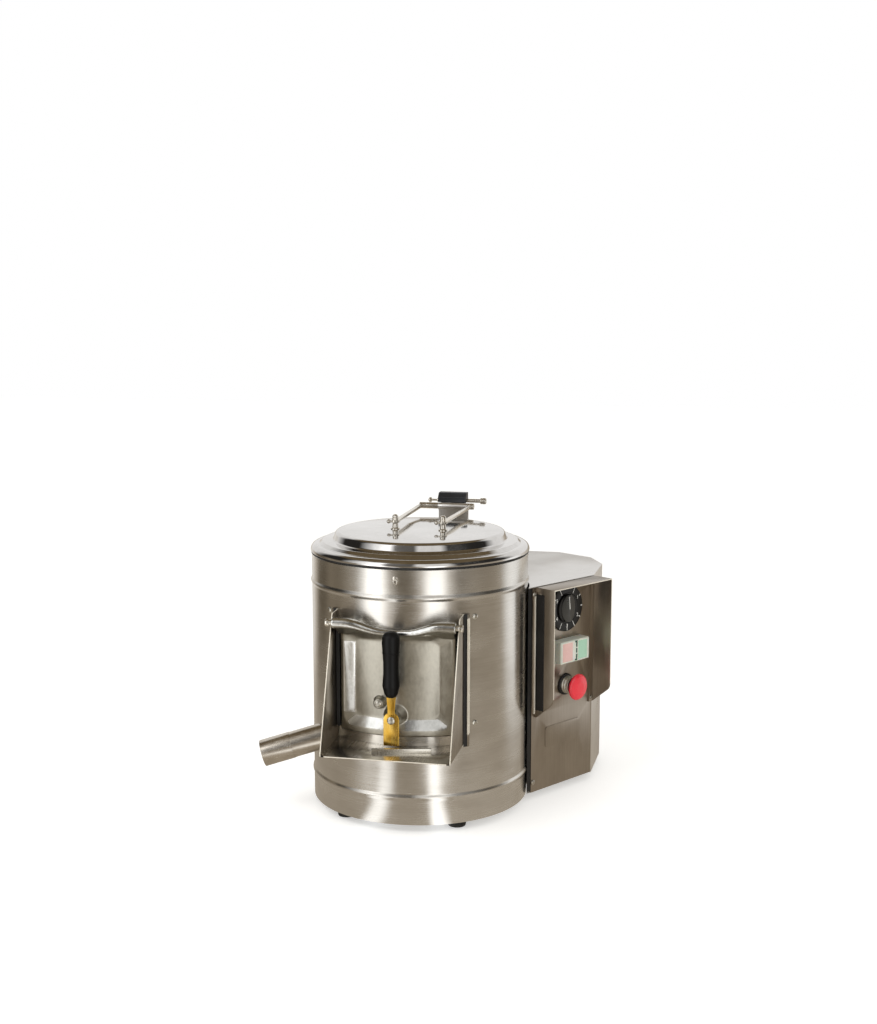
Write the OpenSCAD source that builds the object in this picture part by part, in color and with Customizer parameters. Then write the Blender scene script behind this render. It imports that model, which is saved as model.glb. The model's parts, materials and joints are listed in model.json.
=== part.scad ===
// Electric potato peeler: a steel drum with a spinning abrasive disc, a cast discharge door over a
// chute, a spun lid on a bail, and a side housing that holds the motor, belt drive and controls.
// Drawn about the drum's own axis with the door towards -Y, then moved so that the origin is the
// bottom centre of the whole machine.

/* [Drum] */
// Outside diameter of the drum
drum_d = 320; // [312:1:326]
// Thickness of the drum's sheet
drum_wall = 1.5; // [1.2:0.1:2]
// Height of the drum's lower edge above the table
foot_h = 12; // [11:0.5:12.5]
// Height of the seam between the drum and its lid
seam_z = 378; // [376:1:384]
// Heights of the two rolled stiffening beads
bead_low_z = 52; // [48:1:56]
bead_high_z = 338; // [336:1:344]
// How far a bead stands out of the wall
bead_out = 1.8; // [1:0.1:1.8]

/* [Lid] */
// Height of the lid's raised centre above the seam
lid_h = 32; // [30:1:36]
// Diameter of the raised centre
lid_panel_d = 250; // [230:1:254]
// Distance between the two lifting posts
post_gap = 72; // [70:1:80]
// Height of a post above the lid
post_h = 22; // [20:1:26]
// Distance of the lid's hinge behind the drum's axis
hinge_back = 182; // [180:1:186]
// Height of the lid's hinge above the seam
hinge_up = 41; // [40:1:43]

/* [Door and chute] */
// Width of the cast door
door_w = 168; // [160:1:170]
// Height of the door's lower edge
door_low_z = 142.5; // [141:0.5:146]
// Height of the door's upper edge
door_top_z = 297; // [294:1:298]
// Height of the chute's floor
tray_z = 128; // [120:1:129]
// How far the chute reaches in front of the drum's axis
chute_reach = 227; // [215:1:240]
// Outside width of the chute
chute_w = 183; // [182:0.5:188]
// Height of the latch's pivot
latch_z = 172; // [171:0.5:173]
// Length of the latch's black grip
grip_len = 92; // [80:1:96]

/* [Drain] */
// Outside diameter of the drain pipe
pipe_d = 39; // [30:1:40]
// Length of the drain pipe outside the drum
pipe_out = 85; // [60:1:110]
// Direction in which the pipe leaves, counted from +X
pipe_turn = 195; // [190:1:200]
// Fall of the pipe below the level
pipe_fall = 16; // [12:1:18]

/* [Motor housing] */
// Direction of the housing's centre line, counted from +X
housing_turn = 56.1; // [50:0.1:62]
// Half of the housing's width
housing_half = 134.5; // [133:0.5:136]
// Height of the housing's top
housing_top = 327; // [326:0.5:332]
// Reach of the flat control side from the drum's axis
flat_end = 241; // [240:0.5:244]
// Depth of the hood over the controls
hood_out = 35.5; // [34:0.5:40]

/* [Controls] */
// Diameter of the timer's scale plate
dial_d = 71; // [60:1:71]
// Width of the two-button switch cover
cover_w = 66; // [66:0.5:70]
// Height of the two-button switch cover
cover_h = 34; // [33:0.5:36]
// Diameter of the red stop mushroom
stop_d = 40; // [36:1:42]
// Travel of the start and stop buttons
button_travel = 3; // [2:0.5:3]
// Travel of the stop mushroom
stop_travel = 5; // [3:0.5:5]

/* [Drive] */
// Diameter of the peeling disc
disc_d = 300; // [290:1:302]
// Pitch diameter of the large pulley
big_pitch = 200; // [180:1:204]
// Pitch diameter of the motor pulley
small_pitch = 50; // [44:1:60]
// Distance of the motor from the drum's axis
motor_reach = 238; // [237:1:242]
// Diameter of the motor
motor_d = 136; // [120:1:138]

/* [Hidden] */
$fn = 96;

// Drum
drum_r = drum_d / 2;
drum_in = drum_r - drum_wall;
keep_r = drum_r + bead_out + 0.3;           // nothing fixed beside the drum comes closer than this
bead_r = 4;
plate_t = 2.5;
liner_t = 3;
liner_z = 150;
floor_z = 84;
floor_t = 4;
foot_r = 15;
liner_screw_turn = 41;
liner_screw_heights = [156, 309];
inlet_turn = 140;
inlet_z = 352;
drum_foot_reach = 136;
drum_foot_turns = [-55, -130, 130, 55];
housing_foot_at = [[290, 70], [290, -70]];

// Lid
hinge_z = seam_z + hinge_up;
lid_top = seam_z + lid_h;
lid_r = drum_r + 1.8;
panel_r = lid_panel_d / 2;
lid_t = 1.5;
post_y = -7;
post_r = 4.5;
post_hole_z = lid_top + 11;
pin_reach = 10;                             // how far a cross pin stands out of its post's axis
arm_r = 3.4;
arm_ahead = 4.5;                            // how far an arm stands out in front of its post
tube_r = 5;
axle_r = 3;
running = 0.05;                             // radial clearance of a turning fit
bracket_x0 = -10.5;
bracket_x1 = 37.5;
bracket_low = 345;
bail_left = -38;                            // where the two arms meet the axle
bail_right = 42;
switch_x = -13.5;
switch_y = hinge_back + 10;
switch_low = hinge_z + 4;
switch_w = 46;
switch_profile = [[0, 0], [22, 0], [22, 15], [7, 15], [0, 8.5]];
rod_r = 3;
rod_at = [0, switch_y + 9, hinge_z + 6.5];

// Door and chute
door_y = -170;
door_hinge_z = door_top_z + 5;
door_back = drum_r + 2.6;
door_face = drum_r + 8;
opening_w = 152;
opening_z0 = 157;
opening_z1 = 293;
pocket_r = drum_r + 0.8;                    // floor of the door's sunk panel
pocket_w = 156;
pocket_rim = [152, 288];                    // heights where the panel's slopes leave the door's face
pocket_floor = [166, 278];                  // heights where they reach its floor
pin_in = 60;
barrel_r = 8;
// The rolled upper edge from a barrel to the middle: distance from the middle, height and radius
roll = [[pin_in, door_hinge_z, barrel_r], [45, 297.2, 6.8], [32, 293.2, 5.8], [20, 291, 5],
    [0, 290.5, barrel_r / 2]];
roll_tip = [0, door_y + 3.5, 290.5];        // where the two halves of the edge meet
arch_r = 10.5;
sheet = 1.5;
cheek_in = chute_w / 2 - sheet;
cheek_top = 313;
channel_w = 7;                              // the groove beside a cheek that holds its rubber strip
lip_t = 2;
lip_r = drum_r + 4;
pin_r = 4;
lever_f0 = 184;
lever_t = 3.4;
lever_w = 22.4;
toe_z = tray_z + 7.6;
neck_top = latch_z + 48;
grip_z = latch_z + 33;
grip_f = lever_f0 + lever_t / 2;

// Drain
pipe_r = pipe_d / 2;
pipe_start = [-133, -91, 111];
pipe_inside = 22;
pipe_sized = 45;                            // length of the end that is sized for a hose
pipe_neck_r = pipe_r - 0.5;
pipe_wall = 1.5;

// Housing: u runs along the centre line away from the drum, w across it
panel_w = -housing_half;
panel_u0 = 100;
end_far = 355;
end_mid = 323;
end_plan = [[flat_end, housing_half], [end_mid, 84], [end_far, 34]];
dial_at = [175.5, 285];                     // u and height of each control
switch_at = [178, 221.5];
stop_at = [177, 166.5];
button_x = 15.5;
hood_u0 = 108.5;
hood_u1 = 241.5;
hood_low = 128;
hood_rise = 34;                             // how much higher the wings end at the front
hood_tab = 10;
panel_screw_at = [[104.2, 28], [104.2, 316]];
hood_screw_at = [for (u = [hood_u0 + hood_tab / 2, hood_u1 - hood_tab / 2], z = [134, 315]) [u, z]];
panel_shank_r = 2;
hood_shank_r = 1.6;
cover_out = 18;
cap_out = 16.4;                             // front of the start and stop buttons
collar_out = 15;                            // front of the stop button's collar
stem_r = 9;
vents = 7;
gland_at = [205, housing_half - sheet, 50];

// Drive
shaft_r = 12.5;
spigot_r = 10;
disc_z = 148;
disc_t = 8;
belt_z = 44;
big_r = big_pitch / 2;
small_r = small_pitch / 2;
groove_out = 4;                             // groove edge outside the pitch line
groove_in = 5;                              // groove floor inside the pitch line
belt_gap = 0.5;
belt_tuck = 1.5;                            // how far a straight run goes into the curved ones
motor_shaft_r = 7;
motor_r = motor_d / 2;
motor_low = 68;
motor_high = 226;
fan_z = 234;
motor_top = 262;

// Whole machine: its box decides the origin
pipe_dir = [cos(pipe_turn) * cos(pipe_fall), sin(pipe_turn) * cos(pipe_fall), -sin(pipe_fall)];
pipe_x = pipe_start.x + pipe_out * pipe_dir.x - pipe_r * sqrt(1 - pipe_dir.x * pipe_dir.x);
hood_x = cos(housing_turn) * hood_u1 + sin(housing_turn) * (housing_half + hood_out);
end_y = sin(housing_turn) * end_mid + cos(housing_turn) * end_plan[1].y;
centre_x = (pipe_x + hood_x) / 2;
centre_y = (end_y - chute_reach) / 2;

// ---------- helpers ----------

module ring(outer, inner, h) {
    difference() {
        cylinder(r = outer, h = h);
        translate([0, 0, -1]) cylinder(r = inner, h = h + 2);
    }
}

// Everything is placed from the drum's axis
module machine() { translate([-centre_x, -centre_y, 0]) children(); }

// Along the housing: x runs away from the drum, -y is outwards on the control side
module along_housing() { machine() rotate([0, 0, housing_turn]) children(); }

// On the control panel: x to the right, -y outwards, z up, at distance u and height z
module on_panel(u, z) { along_housing() translate([u, panel_w, z]) children(); }

// A round piece that stands out of the panel from depth a to depth b
module panel_round(r, a, b) { rotate([90, 0, 0]) translate([0, 0, a]) cylinder(r = r, h = b - a); }

// A block that stands out of the panel, centred on its place
module panel_block(w, h, a, b) { translate([-w / 2, -b, -h / 2]) cube([w, b - a, h]); }

// Along the drain pipe, with z pointing out of its end
module along_pipe() {
    machine() translate(pipe_start) rotate([0, 90 + pipe_fall, pipe_turn]) children();
}

// A round bar from point a to point b, that may taper
module bar(a, b, r1, r2) {
    d = b - a;
    translate(a) rotate([0, acos(d.z / norm(d)), atan2(d.y, d.x)]) cylinder(r1 = r1, r2 = r2, h = norm(d));
}

// A rectangle with round corners
module rounded_plate(w, h, r) {
    square([w - 2 * r, h], center = true);
    square([w, h - 2 * r], center = true);
    for (x = [-1, 1], y = [-1, 1]) translate([x * (w / 2 - r), y * (h / 2 - r)]) circle(r = r);
}

// A cheese-head screw with a slot, head up, with its shank below
module slot_screw(head_r, head_h, shank_r, shank_l) {
    difference() {
        union() {
            cylinder(r = head_r, h = head_h);
            translate([0, 0, -shank_l]) cylinder(r = shank_r, h = shank_l);
        }
        translate([-head_r - 1, -0.5, head_h - 1]) cube([2 * head_r + 2, 1, 2]);
    }
}

// ---------- drum ----------

module at_liner_screws() {
    for (x = [-1, 1], z = liner_screw_heights) rotate([0, 0, x * liner_screw_turn])
        translate([0, -drum_r, z]) rotate([90, 0, 0]) children();
}

module liner_screw_holes() at_liner_screws() translate([0, 0, -10])
    cylinder(r = panel_shank_r + running, h = 20);

module at_inlet() { translate([0, 0, inlet_z]) rotate([0, 90, inlet_turn]) children(); }

module outer_shell() color("silver") difference() {
    machine() {
        translate([0, 0, foot_h]) cylinder(r = drum_r, h = seam_z - foot_h);
        for (z = [bead_low_z, bead_high_z])
            translate([0, 0, z]) rotate_extrude() translate([drum_r + bead_out - bead_r, 0])
                circle(r = bead_r, $fn = 32);
    }
    machine() {
        translate([0, 0, foot_h - 1]) cylinder(r = drum_in, h = seam_z);
        translate([-opening_w / 2, -drum_r - 10, opening_z0]) cube([opening_w, 60, opening_z1 - opening_z0]);
        rotate([0, 0, housing_turn]) translate([80, -112, 28]) cube([100, 224, 32]);
        at_inlet() cylinder(r = 8, h = drum_d);
        liner_screw_holes();
    }
    along_pipe() translate([0, 0, -60]) cylinder(r = pipe_neck_r, h = 120);
}

module base_plate() color("gray") machine() translate([0, 0, foot_h + 0.5])
    cylinder(r = drum_in, h = plate_t);

module rubber_foot() cylinder(r1 = foot_r - 2.5, r2 = foot_r, h = foot_h + 0.5);

module rubber_feet() color("#1c1c1c") {
    machine() for (a = drum_foot_turns) rotate([0, 0, a]) translate([drum_foot_reach, 0, 0]) rubber_foot();
    along_housing() for (p = housing_foot_at) translate([p.x, p.y, 0]) rubber_foot();
}

module drum_liner() color("#8d8a84") difference() {
    machine() translate([0, 0, liner_z]) ring(drum_in, drum_in - liner_t, seam_z - 8 - liner_z);
    machine() {
        translate([-opening_w / 2, -drum_r - 10, opening_z0]) cube([opening_w, 60, opening_z1 - opening_z0]);
        at_inlet() cylinder(r = 8, h = drum_d);
        liner_screw_holes();
    }
}

module liner_screws() color("gainsboro") machine() at_liner_screws()
    slot_screw(4, 2.2, panel_shank_r, drum_wall + liner_t - 0.1);

module chamber_floor() color("lightgray") machine() translate([0, 0, floor_z]) ring(drum_in, 34, floor_t);

module drain_pipe() color("silver") difference() {
    along_pipe() {
        translate([0, 0, -pipe_inside]) cylinder(r = pipe_neck_r, h = pipe_out + pipe_inside);
        translate([0, 0, pipe_out - pipe_sized]) cylinder(r = pipe_r, h = pipe_sized);
    }
    along_pipe() translate([0, 0, -pipe_inside - 1])
        cylinder(r = pipe_r - pipe_wall, h = pipe_out + pipe_inside + 2);
    machine() cylinder(r = drum_in - 1, h = seam_z);
}

module water_inlet() color("goldenrod") machine() at_inlet() {
    difference() {
        union() {
            translate([0, 0, drum_in - liner_t]) cylinder(r = 8, h = drum_wall + liner_t + 1);
            translate([0, 0, drum_r + 0.6]) cylinder(r = 12, h = 5);
            translate([0, 0, drum_r + 5]) cylinder(r = 6.5, h = 24);
        }
        translate([0, 0, drum_in - liner_t - 1]) cylinder(r = 4.5, h = 60);
    }
}

// ---------- discharge chute ----------

module cheek() {
    rotate([90, 0, 90]) linear_extrude(sheet)
        polygon([[-100, tray_z - sheet], [-chute_reach, tray_z - sheet], [-chute_reach, tray_z + 3],
            [-162, cheek_top - 4], [-158, cheek_top], [-100, cheek_top]]);
}

// Upright bands on the drum's wall on both sides, between two radii and between x0 and x1
module channel_band(outer, inner, x0, x1) intersection() {
    translate([0, 0, tray_z - 4]) ring(outer, inner, cheek_top + 5 - tray_z);
    for (s = [-1, 1]) translate([s > 0 ? x0 : -x1, -drum_r, 0]) cube([x1 - x0, 60, seam_z]);
}

module discharge_chute() color("silver") machine() difference() {
    union() {
        for (x = [-chute_w / 2, cheek_in]) translate([x, 0, 0]) cheek();
        translate([0, 0, tray_z - sheet]) linear_extrude(sheet)
            polygon([[-chute_w / 2, -100], [-chute_w / 2, 6 - chute_reach], [6 - chute_w / 2, -chute_reach],
                [chute_w / 2 - 6, -chute_reach], [chute_w / 2, 6 - chute_reach], [chute_w / 2, -100]]);
        channel_band(drum_r + 0.2 + sheet, drum_r - 5, cheek_in, chute_w / 2 + channel_w);
        channel_band(lip_r, drum_r - 5, chute_w / 2 + channel_w - lip_t, chute_w / 2 + channel_w);
    }
    cylinder(r = drum_r + 0.2, h = seam_z);
    for (x = [-1, 1]) translate([x * (chute_w / 2 + 10), door_y, door_hinge_z]) rotate([0, -90 * x, 0])
        cylinder(r = pin_r, h = 20);
}

module chute_seal() color("#151515") machine() {
    low = chute_w / 2 + 0.05;
    channel_band(lip_r - 0.5, drum_r + 0.25 + sheet, low, low + channel_w - lip_t - 0.1);
}

module strike_bar() color("#a9a49a") machine()
    translate([15.5, -193, tray_z]) rotate([0, 0, atan2(18, 81)]) translate([-41, -3, 0]) cube([82, 6, 7]);

module door_pins() color("gainsboro") machine()
    for (x = [-1, 1]) translate([0, door_y, door_hinge_z]) rotate([0, 90 * x, 0]) {
        translate([0, 0, pin_in]) cylinder(r = pin_r, h = chute_w / 2 - pin_in + 5);
        translate([0, 0, chute_w / 2 + 0.1]) cylinder(r = 5.5, h = 6);
    }

// ---------- door and latch ----------

module door_shape(outer, inner, w, z0, z1) {
    intersection() {
        translate([0, 0, z0]) ring(outer, inner, z1 - z0);
        translate([-w / 2, -drum_r - 20, z0 - 1]) cube([w, 120, z1 - z0 + 2]);
    }
}

// The sunk panel: a band with sloping upper and lower sides, kept in front of one flat plane
module door_pocket() intersection() {
    face_edge = (door_face + 5 - pocket_r) / (door_face - pocket_r);
    low_slope = (pocket_floor[0] - pocket_rim[0]) * face_edge;
    high_slope = (pocket_rim[1] - pocket_floor[1]) * face_edge;
    rotate_extrude() polygon([[pocket_r, pocket_floor[0]], [door_face + 5, pocket_floor[0] - low_slope],
        [door_face + 5, pocket_floor[1] + high_slope], [pocket_r, pocket_floor[1]]]);
    translate([-pocket_w / 2, -door_face - 10, 0])
        cube([pocket_w, door_face + 10 - sqrt(door_face * door_face - pocket_w * pocket_w / 4), seam_z]);
}

// The roll's axis, or a line above it, from the left barrel to the right one, with x to the right
function roll_line(up) = concat([for (p = roll) [-p.x, p.y + up * p.z]],
    [for (i = [len(roll) - 2:-1:0]) [roll[i].x, roll[i].y + up * roll[i].z]]);

// Everything between the door's two sides whose outline (x, z) is given
module seen_from_front(outline)
    translate([0, -100, 0]) rotate([90, 0, 0]) linear_extrude(100) polygon(outline);

module door_casting() color("#c9c9c9") machine() difference() {
    union() {
        difference() {
            union() {
                door_shape(door_face, door_back, door_w, door_low_z, door_top_z);
                door_shape(door_back + 0.1, drum_in - liner_t, opening_w - 6,
                    opening_z0 + 2.5, opening_z1 - 2.5);
            }
            door_pocket();
            seen_from_front(concat(roll_line(0.5), [[pin_in, seam_z], [-pin_in, seam_z]]));
        }
        difference() {
            intersection() {
                translate([-door_w / 2, 0, door_hinge_z]) rotate([90, 0, 90]) linear_extrude(door_w)
                    polygon([[-166, -12], [door_y, -4], [door_y, 0], [-130, 0], [-130, -30], [-150, -30]]);
                seen_from_front(concat(roll_line(0), [[door_w, door_hinge_z], [door_w, 260],
                    [-door_w, 260], [-door_w, door_hinge_z]]));
            }
            cylinder(r = door_back, h = seam_z);
        }
        for (x = [-1, 1]) {
            translate([x * (pin_in - 4), door_y, door_hinge_z]) rotate([0, 90 * x, 0])
                cylinder(r = barrel_r, h = 32);
            bar([x * pin_in, door_y, door_hinge_z], roll_tip, barrel_r, barrel_r / 2);
        }
        difference() {
            translate([0, -158, latch_z]) rotate([90, 0, 0])
                cylinder(r1 = arch_r + 8, r2 = arch_r, h = door_face - 158);
            cylinder(r = door_back, h = opening_z0 + 2.5);
        }
        translate([0, -150, latch_z]) rotate([90, 0, 0]) cylinder(r = 9, h = lever_f0 - 150.2);
        translate([-22, -150, 190]) rotate([90, 0, 0]) cylinder(r = 7.5, h = 22);
    }
    cylinder(r = drum_in - liner_t, h = seam_z);
    for (x = [-1, 1]) translate([x * (pin_in - 2), door_y, door_hinge_z]) rotate([0, 90 * x, 0])
        cylinder(r = pin_r + running, h = 40);
    translate([0, -156, latch_z]) rotate([90, 0, 0]) cylinder(r = 3, h = 40);
}

module door_seal() color("#2a2a2a") machine() difference() {
    door_shape(door_back, drum_r + 0.3, door_w - 4, door_low_z + 2, door_top_z - 3);
    door_shape(door_back + 5, drum_r - 5, opening_w - 2, opening_z0 + 1, opening_z1 - 1);
}

// The latch is drawn flat and stood up: x across, y up, z outwards
module latch_plane() {
    machine() translate([0, -lever_f0, latch_z]) rotate([90, 0, 0]) children();
}

module latch_lever() color("goldenrod") latch_plane() difference() {
    linear_extrude(lever_t) union() {
        translate([-lever_w / 2, toe_z - latch_z]) square([lever_w, latch_z - toe_z]);
        circle(r = lever_w / 2);
        polygon([[-8, 8], [-5.5, 13], [-6.5, 34], [-4, neck_top - latch_z], [4, neck_top - latch_z],
            [6.5, 34], [5.5, 13], [8, 8]]);
    }
    translate([0, 0, -1]) cylinder(r = 3 + running, h = lever_t + 2);
}

module latch_handle() color("#161616") difference() {
    machine() translate([0, -grip_f, grip_z]) rotate_extrude() polygon([[0, 0], [7, 0], [9, 3],
        [12.2, 14], [12, 22], [11, 34], [10.9, 52], [11.6, grip_len - 28], [12.5, grip_len - 20],
        [12.7, grip_len - 13], [11.8, grip_len - 6], [8.2, grip_len - 1.5], [3.5, grip_len], [0, grip_len]]);
    latch_plane() translate([-7.2, 30, -0.2]) cube([14.4, neck_top - latch_z - 29, lever_t + 0.4]);
}

module latch_screw() color("gainsboro") machine() translate([0, -lever_f0 - lever_t - 0.2, latch_z])
    rotate([90, 0, 0]) slot_screw(5.5, 2.8, 3, lever_f0 + lever_t - 157);

// ---------- lid ----------

module lid_shell() color("gainsboro") machine() translate([0, 0, seam_z]) rotate_extrude() difference() {
    union() {
        square([panel_r - 3, lid_h]);
        square([panel_r, lid_h - 3]);
        translate([panel_r - 3, lid_h - 3]) circle(r = 3, $fn = 32);
        square([panel_r + 19, lid_h - 14]);
        square([panel_r + 22, lid_h - 19]);
        square([lid_r - 7, 13]);
        translate([lid_r - 7, 0]) square([7, 6]);
        translate([lid_r - 7, 6]) circle(r = 7, $fn = 48);
    }
    translate([-1, -1]) square([panel_r + 1 - 3 - lid_t, lid_h + 1 - lid_t]);
    translate([-1, -1]) square([panel_r + 1 - lid_t, lid_h + 1 - 3 - lid_t]);
    translate([-1, -1]) square([panel_r + 20 - lid_t, lid_h - 13 - lid_t]);
    translate([-1, -10]) square([lid_r + 1 - 8, 23 - lid_t]);
    translate([0, -10]) square([200, 13.2]);
}

module lid_gasket() color("#151515") machine() translate([0, 0, seam_z + 0.3])
    ring(lid_r - 0.8, lid_r - 7.5, 2.9);

// One arm of the bail, from in front of its post to the axle
module arm(x, r, past) {
    foot = [x * post_gap / 2, post_y, post_hole_z];
    head = [x > 0 ? bail_right : bail_left, hinge_back, hinge_z];
    way = (head - foot) / norm(head - foot);
    bar(foot - way * past, head, r, r);
}

module lid_posts() color("gainsboro") machine() difference() {
    for (x = [-1, 1]) translate([x * post_gap / 2, post_y, lid_top]) {
        cylinder(r = 7, h = 2);
        cylinder(r = post_r, h = post_h - 2);
        translate([0, 0, post_h - 2.5]) intersection() {
            sphere(r = post_r);
            translate([-10, -10, 0]) cube([20, 20, 2.5]);
        }
    }
    for (x = [-1, 1]) {
        arm(x, arm_r + 0.1, 10);
        translate([x * post_gap / 2 - 10, post_y, post_hole_z]) rotate([0, 90, 0]) cylinder(r = 1.6, h = 20);
    }
}

module post_pins() color("silver") machine() for (x = [-1, 1])
    translate([x * post_gap / 2 - pin_reach, post_y, post_hole_z]) rotate([0, 90, 0]) {
        cylinder(r = 1.6, h = pin_reach + 6);
        sphere(r = 3.2);
    }

module lid_bail() color("silver") machine() difference() {
    union() {
        for (x = [-1, 1]) arm(x, arm_r, arm_ahead);
        translate([0, hinge_back, hinge_z]) rotate([0, 90, 0]) {
            translate([0, 0, bail_left - 3]) cylinder(r = tube_r, h = bracket_x0 - bail_left + 2.5);
            translate([0, 0, bail_left - 3]) cylinder(r = axle_r, h = bail_right - bail_left + 7);
            translate([0, 0, bracket_x1 + 0.5]) cylinder(r = tube_r, h = bail_right + 5 - bracket_x1);
        }
    }
    for (x = [-1, 1]) translate([x * post_gap / 2 - 15, post_y, post_hole_z]) rotate([0, 90, 0])
        cylinder(r = 1.6, h = 30);
}

module lid_catch() color("silver") machine() translate([0, -drum_r, 366]) {
    rotate([90, 0, 0]) cylinder(r = 1.8, h = 5);
    rotate([90, 0, 0]) cylinder(r = 3.4, h = 1.2);
    translate([0, -8.4, 0]) rotate([0, 90, 0]) rotate_extrude() translate([4, 0]) circle(r = 1.3, $fn = 24);
}

module hinge_bracket() color("silver") machine() difference() {
    bracket_w = bracket_x1 - bracket_x0;
    union() {
        translate([bracket_x0, hinge_back, hinge_z]) rotate([0, 90, 0]) cylinder(r = tube_r, h = bracket_w);
        translate([bracket_x0, hinge_back + 3.5, bracket_low]) cube([bracket_w, 4, hinge_z - bracket_low]);
        translate([bracket_x0, hinge_back - 2, hinge_z - 6]) cube([bracket_w, 36, 3]);
        translate([bracket_x0 + 6, 140, bracket_low]) cube([bracket_w - 12, hinge_back - 136, 22]);
    }
    cylinder(r = drum_r, h = hinge_z);
    cylinder(r = keep_r, h = bead_high_z + bead_r + 1);
    translate([bracket_x0 - 1, hinge_back, hinge_z]) rotate([0, 90, 0])
        cylinder(r = axle_r + running, h = bracket_w + 2);
}

module safety_switch() color("#20242a") machine() difference() {
    union() {
        translate([switch_x, switch_y, switch_low]) rotate([90, 0, 90]) linear_extrude(switch_w)
            polygon(switch_profile);
        translate([switch_x + 5, switch_y + 3, hinge_z - 3]) cube([38, 16, 8]);
    }
    translate([switch_x - 1, rod_at.y, rod_at.z]) rotate([0, 90, 0]) cylinder(r = rod_r, h = switch_w + 2);
}

module switch_rod() color("silver") machine() translate(rod_at) rotate([0, 90, 0]) {
    translate([0, 0, -16]) cylinder(r = rod_r, h = 77);
    translate([0, 0, -31]) cylinder(r = 1.6, h = 16);
    translate([0, 0, -29]) cylinder(r = 4, h = 3.5);
    translate([0, 0, 55]) cylinder(r = 5, h = 9);
}

// ---------- disc and drive ----------

module peeling_disc() color("#b8b8b4") machine() difference() {
    union() {
        translate([0, 0, disc_z]) cylinder(r = disc_d / 2, h = disc_t - 2);
        translate([0, 0, disc_z - 18]) cylinder(r = 24, h = 20);
        for (a = [0, 90, 180, 270]) rotate([0, 0, a]) translate([20, -3, disc_z - 16])
            cube([disc_d / 2 - 26, 6, 17]);
    }
    translate([0, 0, disc_z - 20]) cylinder(r = spigot_r, h = 40);
}

module abrasive_top() color("#57534c") machine() translate([0, 0, disc_z + disc_t - 2]) difference() {
    union() {
        cylinder(r = disc_d / 2 - 1, h = 2);
        for (a = [20, 140, 260]) rotate([0, 0, a]) intersection() {
            translate([18, 0, -22]) rotate([0, 90, 0]) cylinder(r = 30, h = disc_d / 2 - 30);
            translate([0, -40, 1]) cube([disc_d / 2, 80, 20]);
        }
    }
    translate([0, 0, -1]) cylinder(r = 16, h = 20);
}

module disc_nut() color("gainsboro") machine() translate([0, 0, disc_z + disc_t - 2]) {
    difference() {
        cylinder(r = 14, h = 10);
        translate([0, 0, -1]) cylinder(r = spigot_r - 2, h = 8);
    }
    translate([0, 0, 10]) cylinder(r1 = 14, r2 = 6, h = 5);
}

module drive_shaft() color("#8f9296") machine() {
    translate([0, 0, 28]) cylinder(r = shaft_r, h = disc_z - 46);
    translate([0, 0, disc_z - 18]) cylinder(r = spigot_r, h = disc_t + 16);
    translate([0, 0, disc_z + disc_t - 2]) cylinder(r = spigot_r - 2, h = 6);
}

module shaft_seal() color("#1a1a1a") machine() translate([0, 0, 98.2]) ring(24, shaft_r + 0.1, 7);

module bearing_housing() color("#7c8084") machine() difference() {
    union() {
        translate([0, 0, 58]) cylinder(r = 34, h = 40);
        translate([0, 0, floor_z - 8]) cylinder(r = 56, h = 8);
    }
    translate([0, 0, 57]) cylinder(r = 26, h = 42);
}

module ball_bearings() color("#a4a8ac") machine() for (z = [58, 83]) translate([0, 0, z]) difference() {
    ring(26, shaft_r + running, 15);
    for (face = [-1, 14]) translate([0, 0, face]) ring(22.5, 17, 2);
}

module pulley(pitch, bore, hub_r, hub_low, hub_high) {
    outer = pitch + groove_out;
    floor_r = pitch - groove_in;
    difference() {
        union() {
            translate([0, 0, -8]) cylinder(r = outer, h = 16);
            translate([0, 0, -hub_low]) cylinder(r = hub_r, h = hub_low + hub_high);
        }
        rotate_extrude() polygon([[floor_r, -3.2], [outer + 1, -6.2], [outer + 1, 6.2], [floor_r, 3.2]]);
        translate([0, 0, -60]) cylinder(r = bore, h = 120);
    }
}

module drum_pulley() color("#5d6166") machine() translate([0, 0, belt_z]) difference() {
    pulley(big_r, shaft_r, 24, 10, 12);
    for (z = [-12, 5]) translate([0, 0, z]) ring(big_r - 14, 32, 7);
    for (a = [0:60:300]) rotate([0, 0, a]) translate([big_r * 0.6, 0, -20]) cylinder(r = 14, h = 40);
}

belt_lean = asin((big_r - small_r) / motor_reach);
belt_span = sqrt(motor_reach * motor_reach - (big_r - small_r) * (big_r - small_r));
module belt_section(less) polygon([[belt_gap - groove_in + less, less - 2.7], [groove_out - less, less - 5.2],
    [groove_out - less, 5.2 - less], [belt_gap - groove_in + less, 2.7 - less]]);
module belt_arc(r, start, sweep) {
    rotate_extrude(angle = sweep, start = start) translate([r, 0]) belt_section(0);
}

module drive_belt() color("#191919") along_housing() translate([0, 0, belt_z]) {
    belt_arc(big_r, 90 - belt_lean, 180 + 2 * belt_lean);
    translate([motor_reach, 0, 0]) belt_arc(small_r, belt_lean - 90, 180 - 2 * belt_lean);
    for (s = [-1, 1]) rotate([0, 0, s * (90 - belt_lean)])
        translate([big_r, (s < 0 ? belt_span : 0) + belt_tuck, 0])
            rotate([90, 0, 0]) linear_extrude(belt_span + 2 * belt_tuck) belt_section(0.15);
}

module at_motor() { along_housing() translate([motor_reach, 0, 0]) children(); }

module motor_body() color("#3f5a74") at_motor() difference() {
    union() {
        translate([0, 0, motor_low]) cylinder(r = motor_r, h = 12);
        translate([0, 0, motor_low + 11]) cylinder(r = motor_r - 6, h = motor_high - motor_low - 22);
        for (a = [0:20:340]) rotate([0, 0, a]) translate([motor_r - 9, -1.5, motor_low + 10])
            cube([9, 3, motor_high - motor_low - 20]);
        translate([0, 0, motor_high - 12]) cylinder(r = motor_r, h = 12);
    }
    translate([0, 0, motor_low - 1]) cylinder(r = motor_shaft_r + 0.3, h = 200);
}

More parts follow.
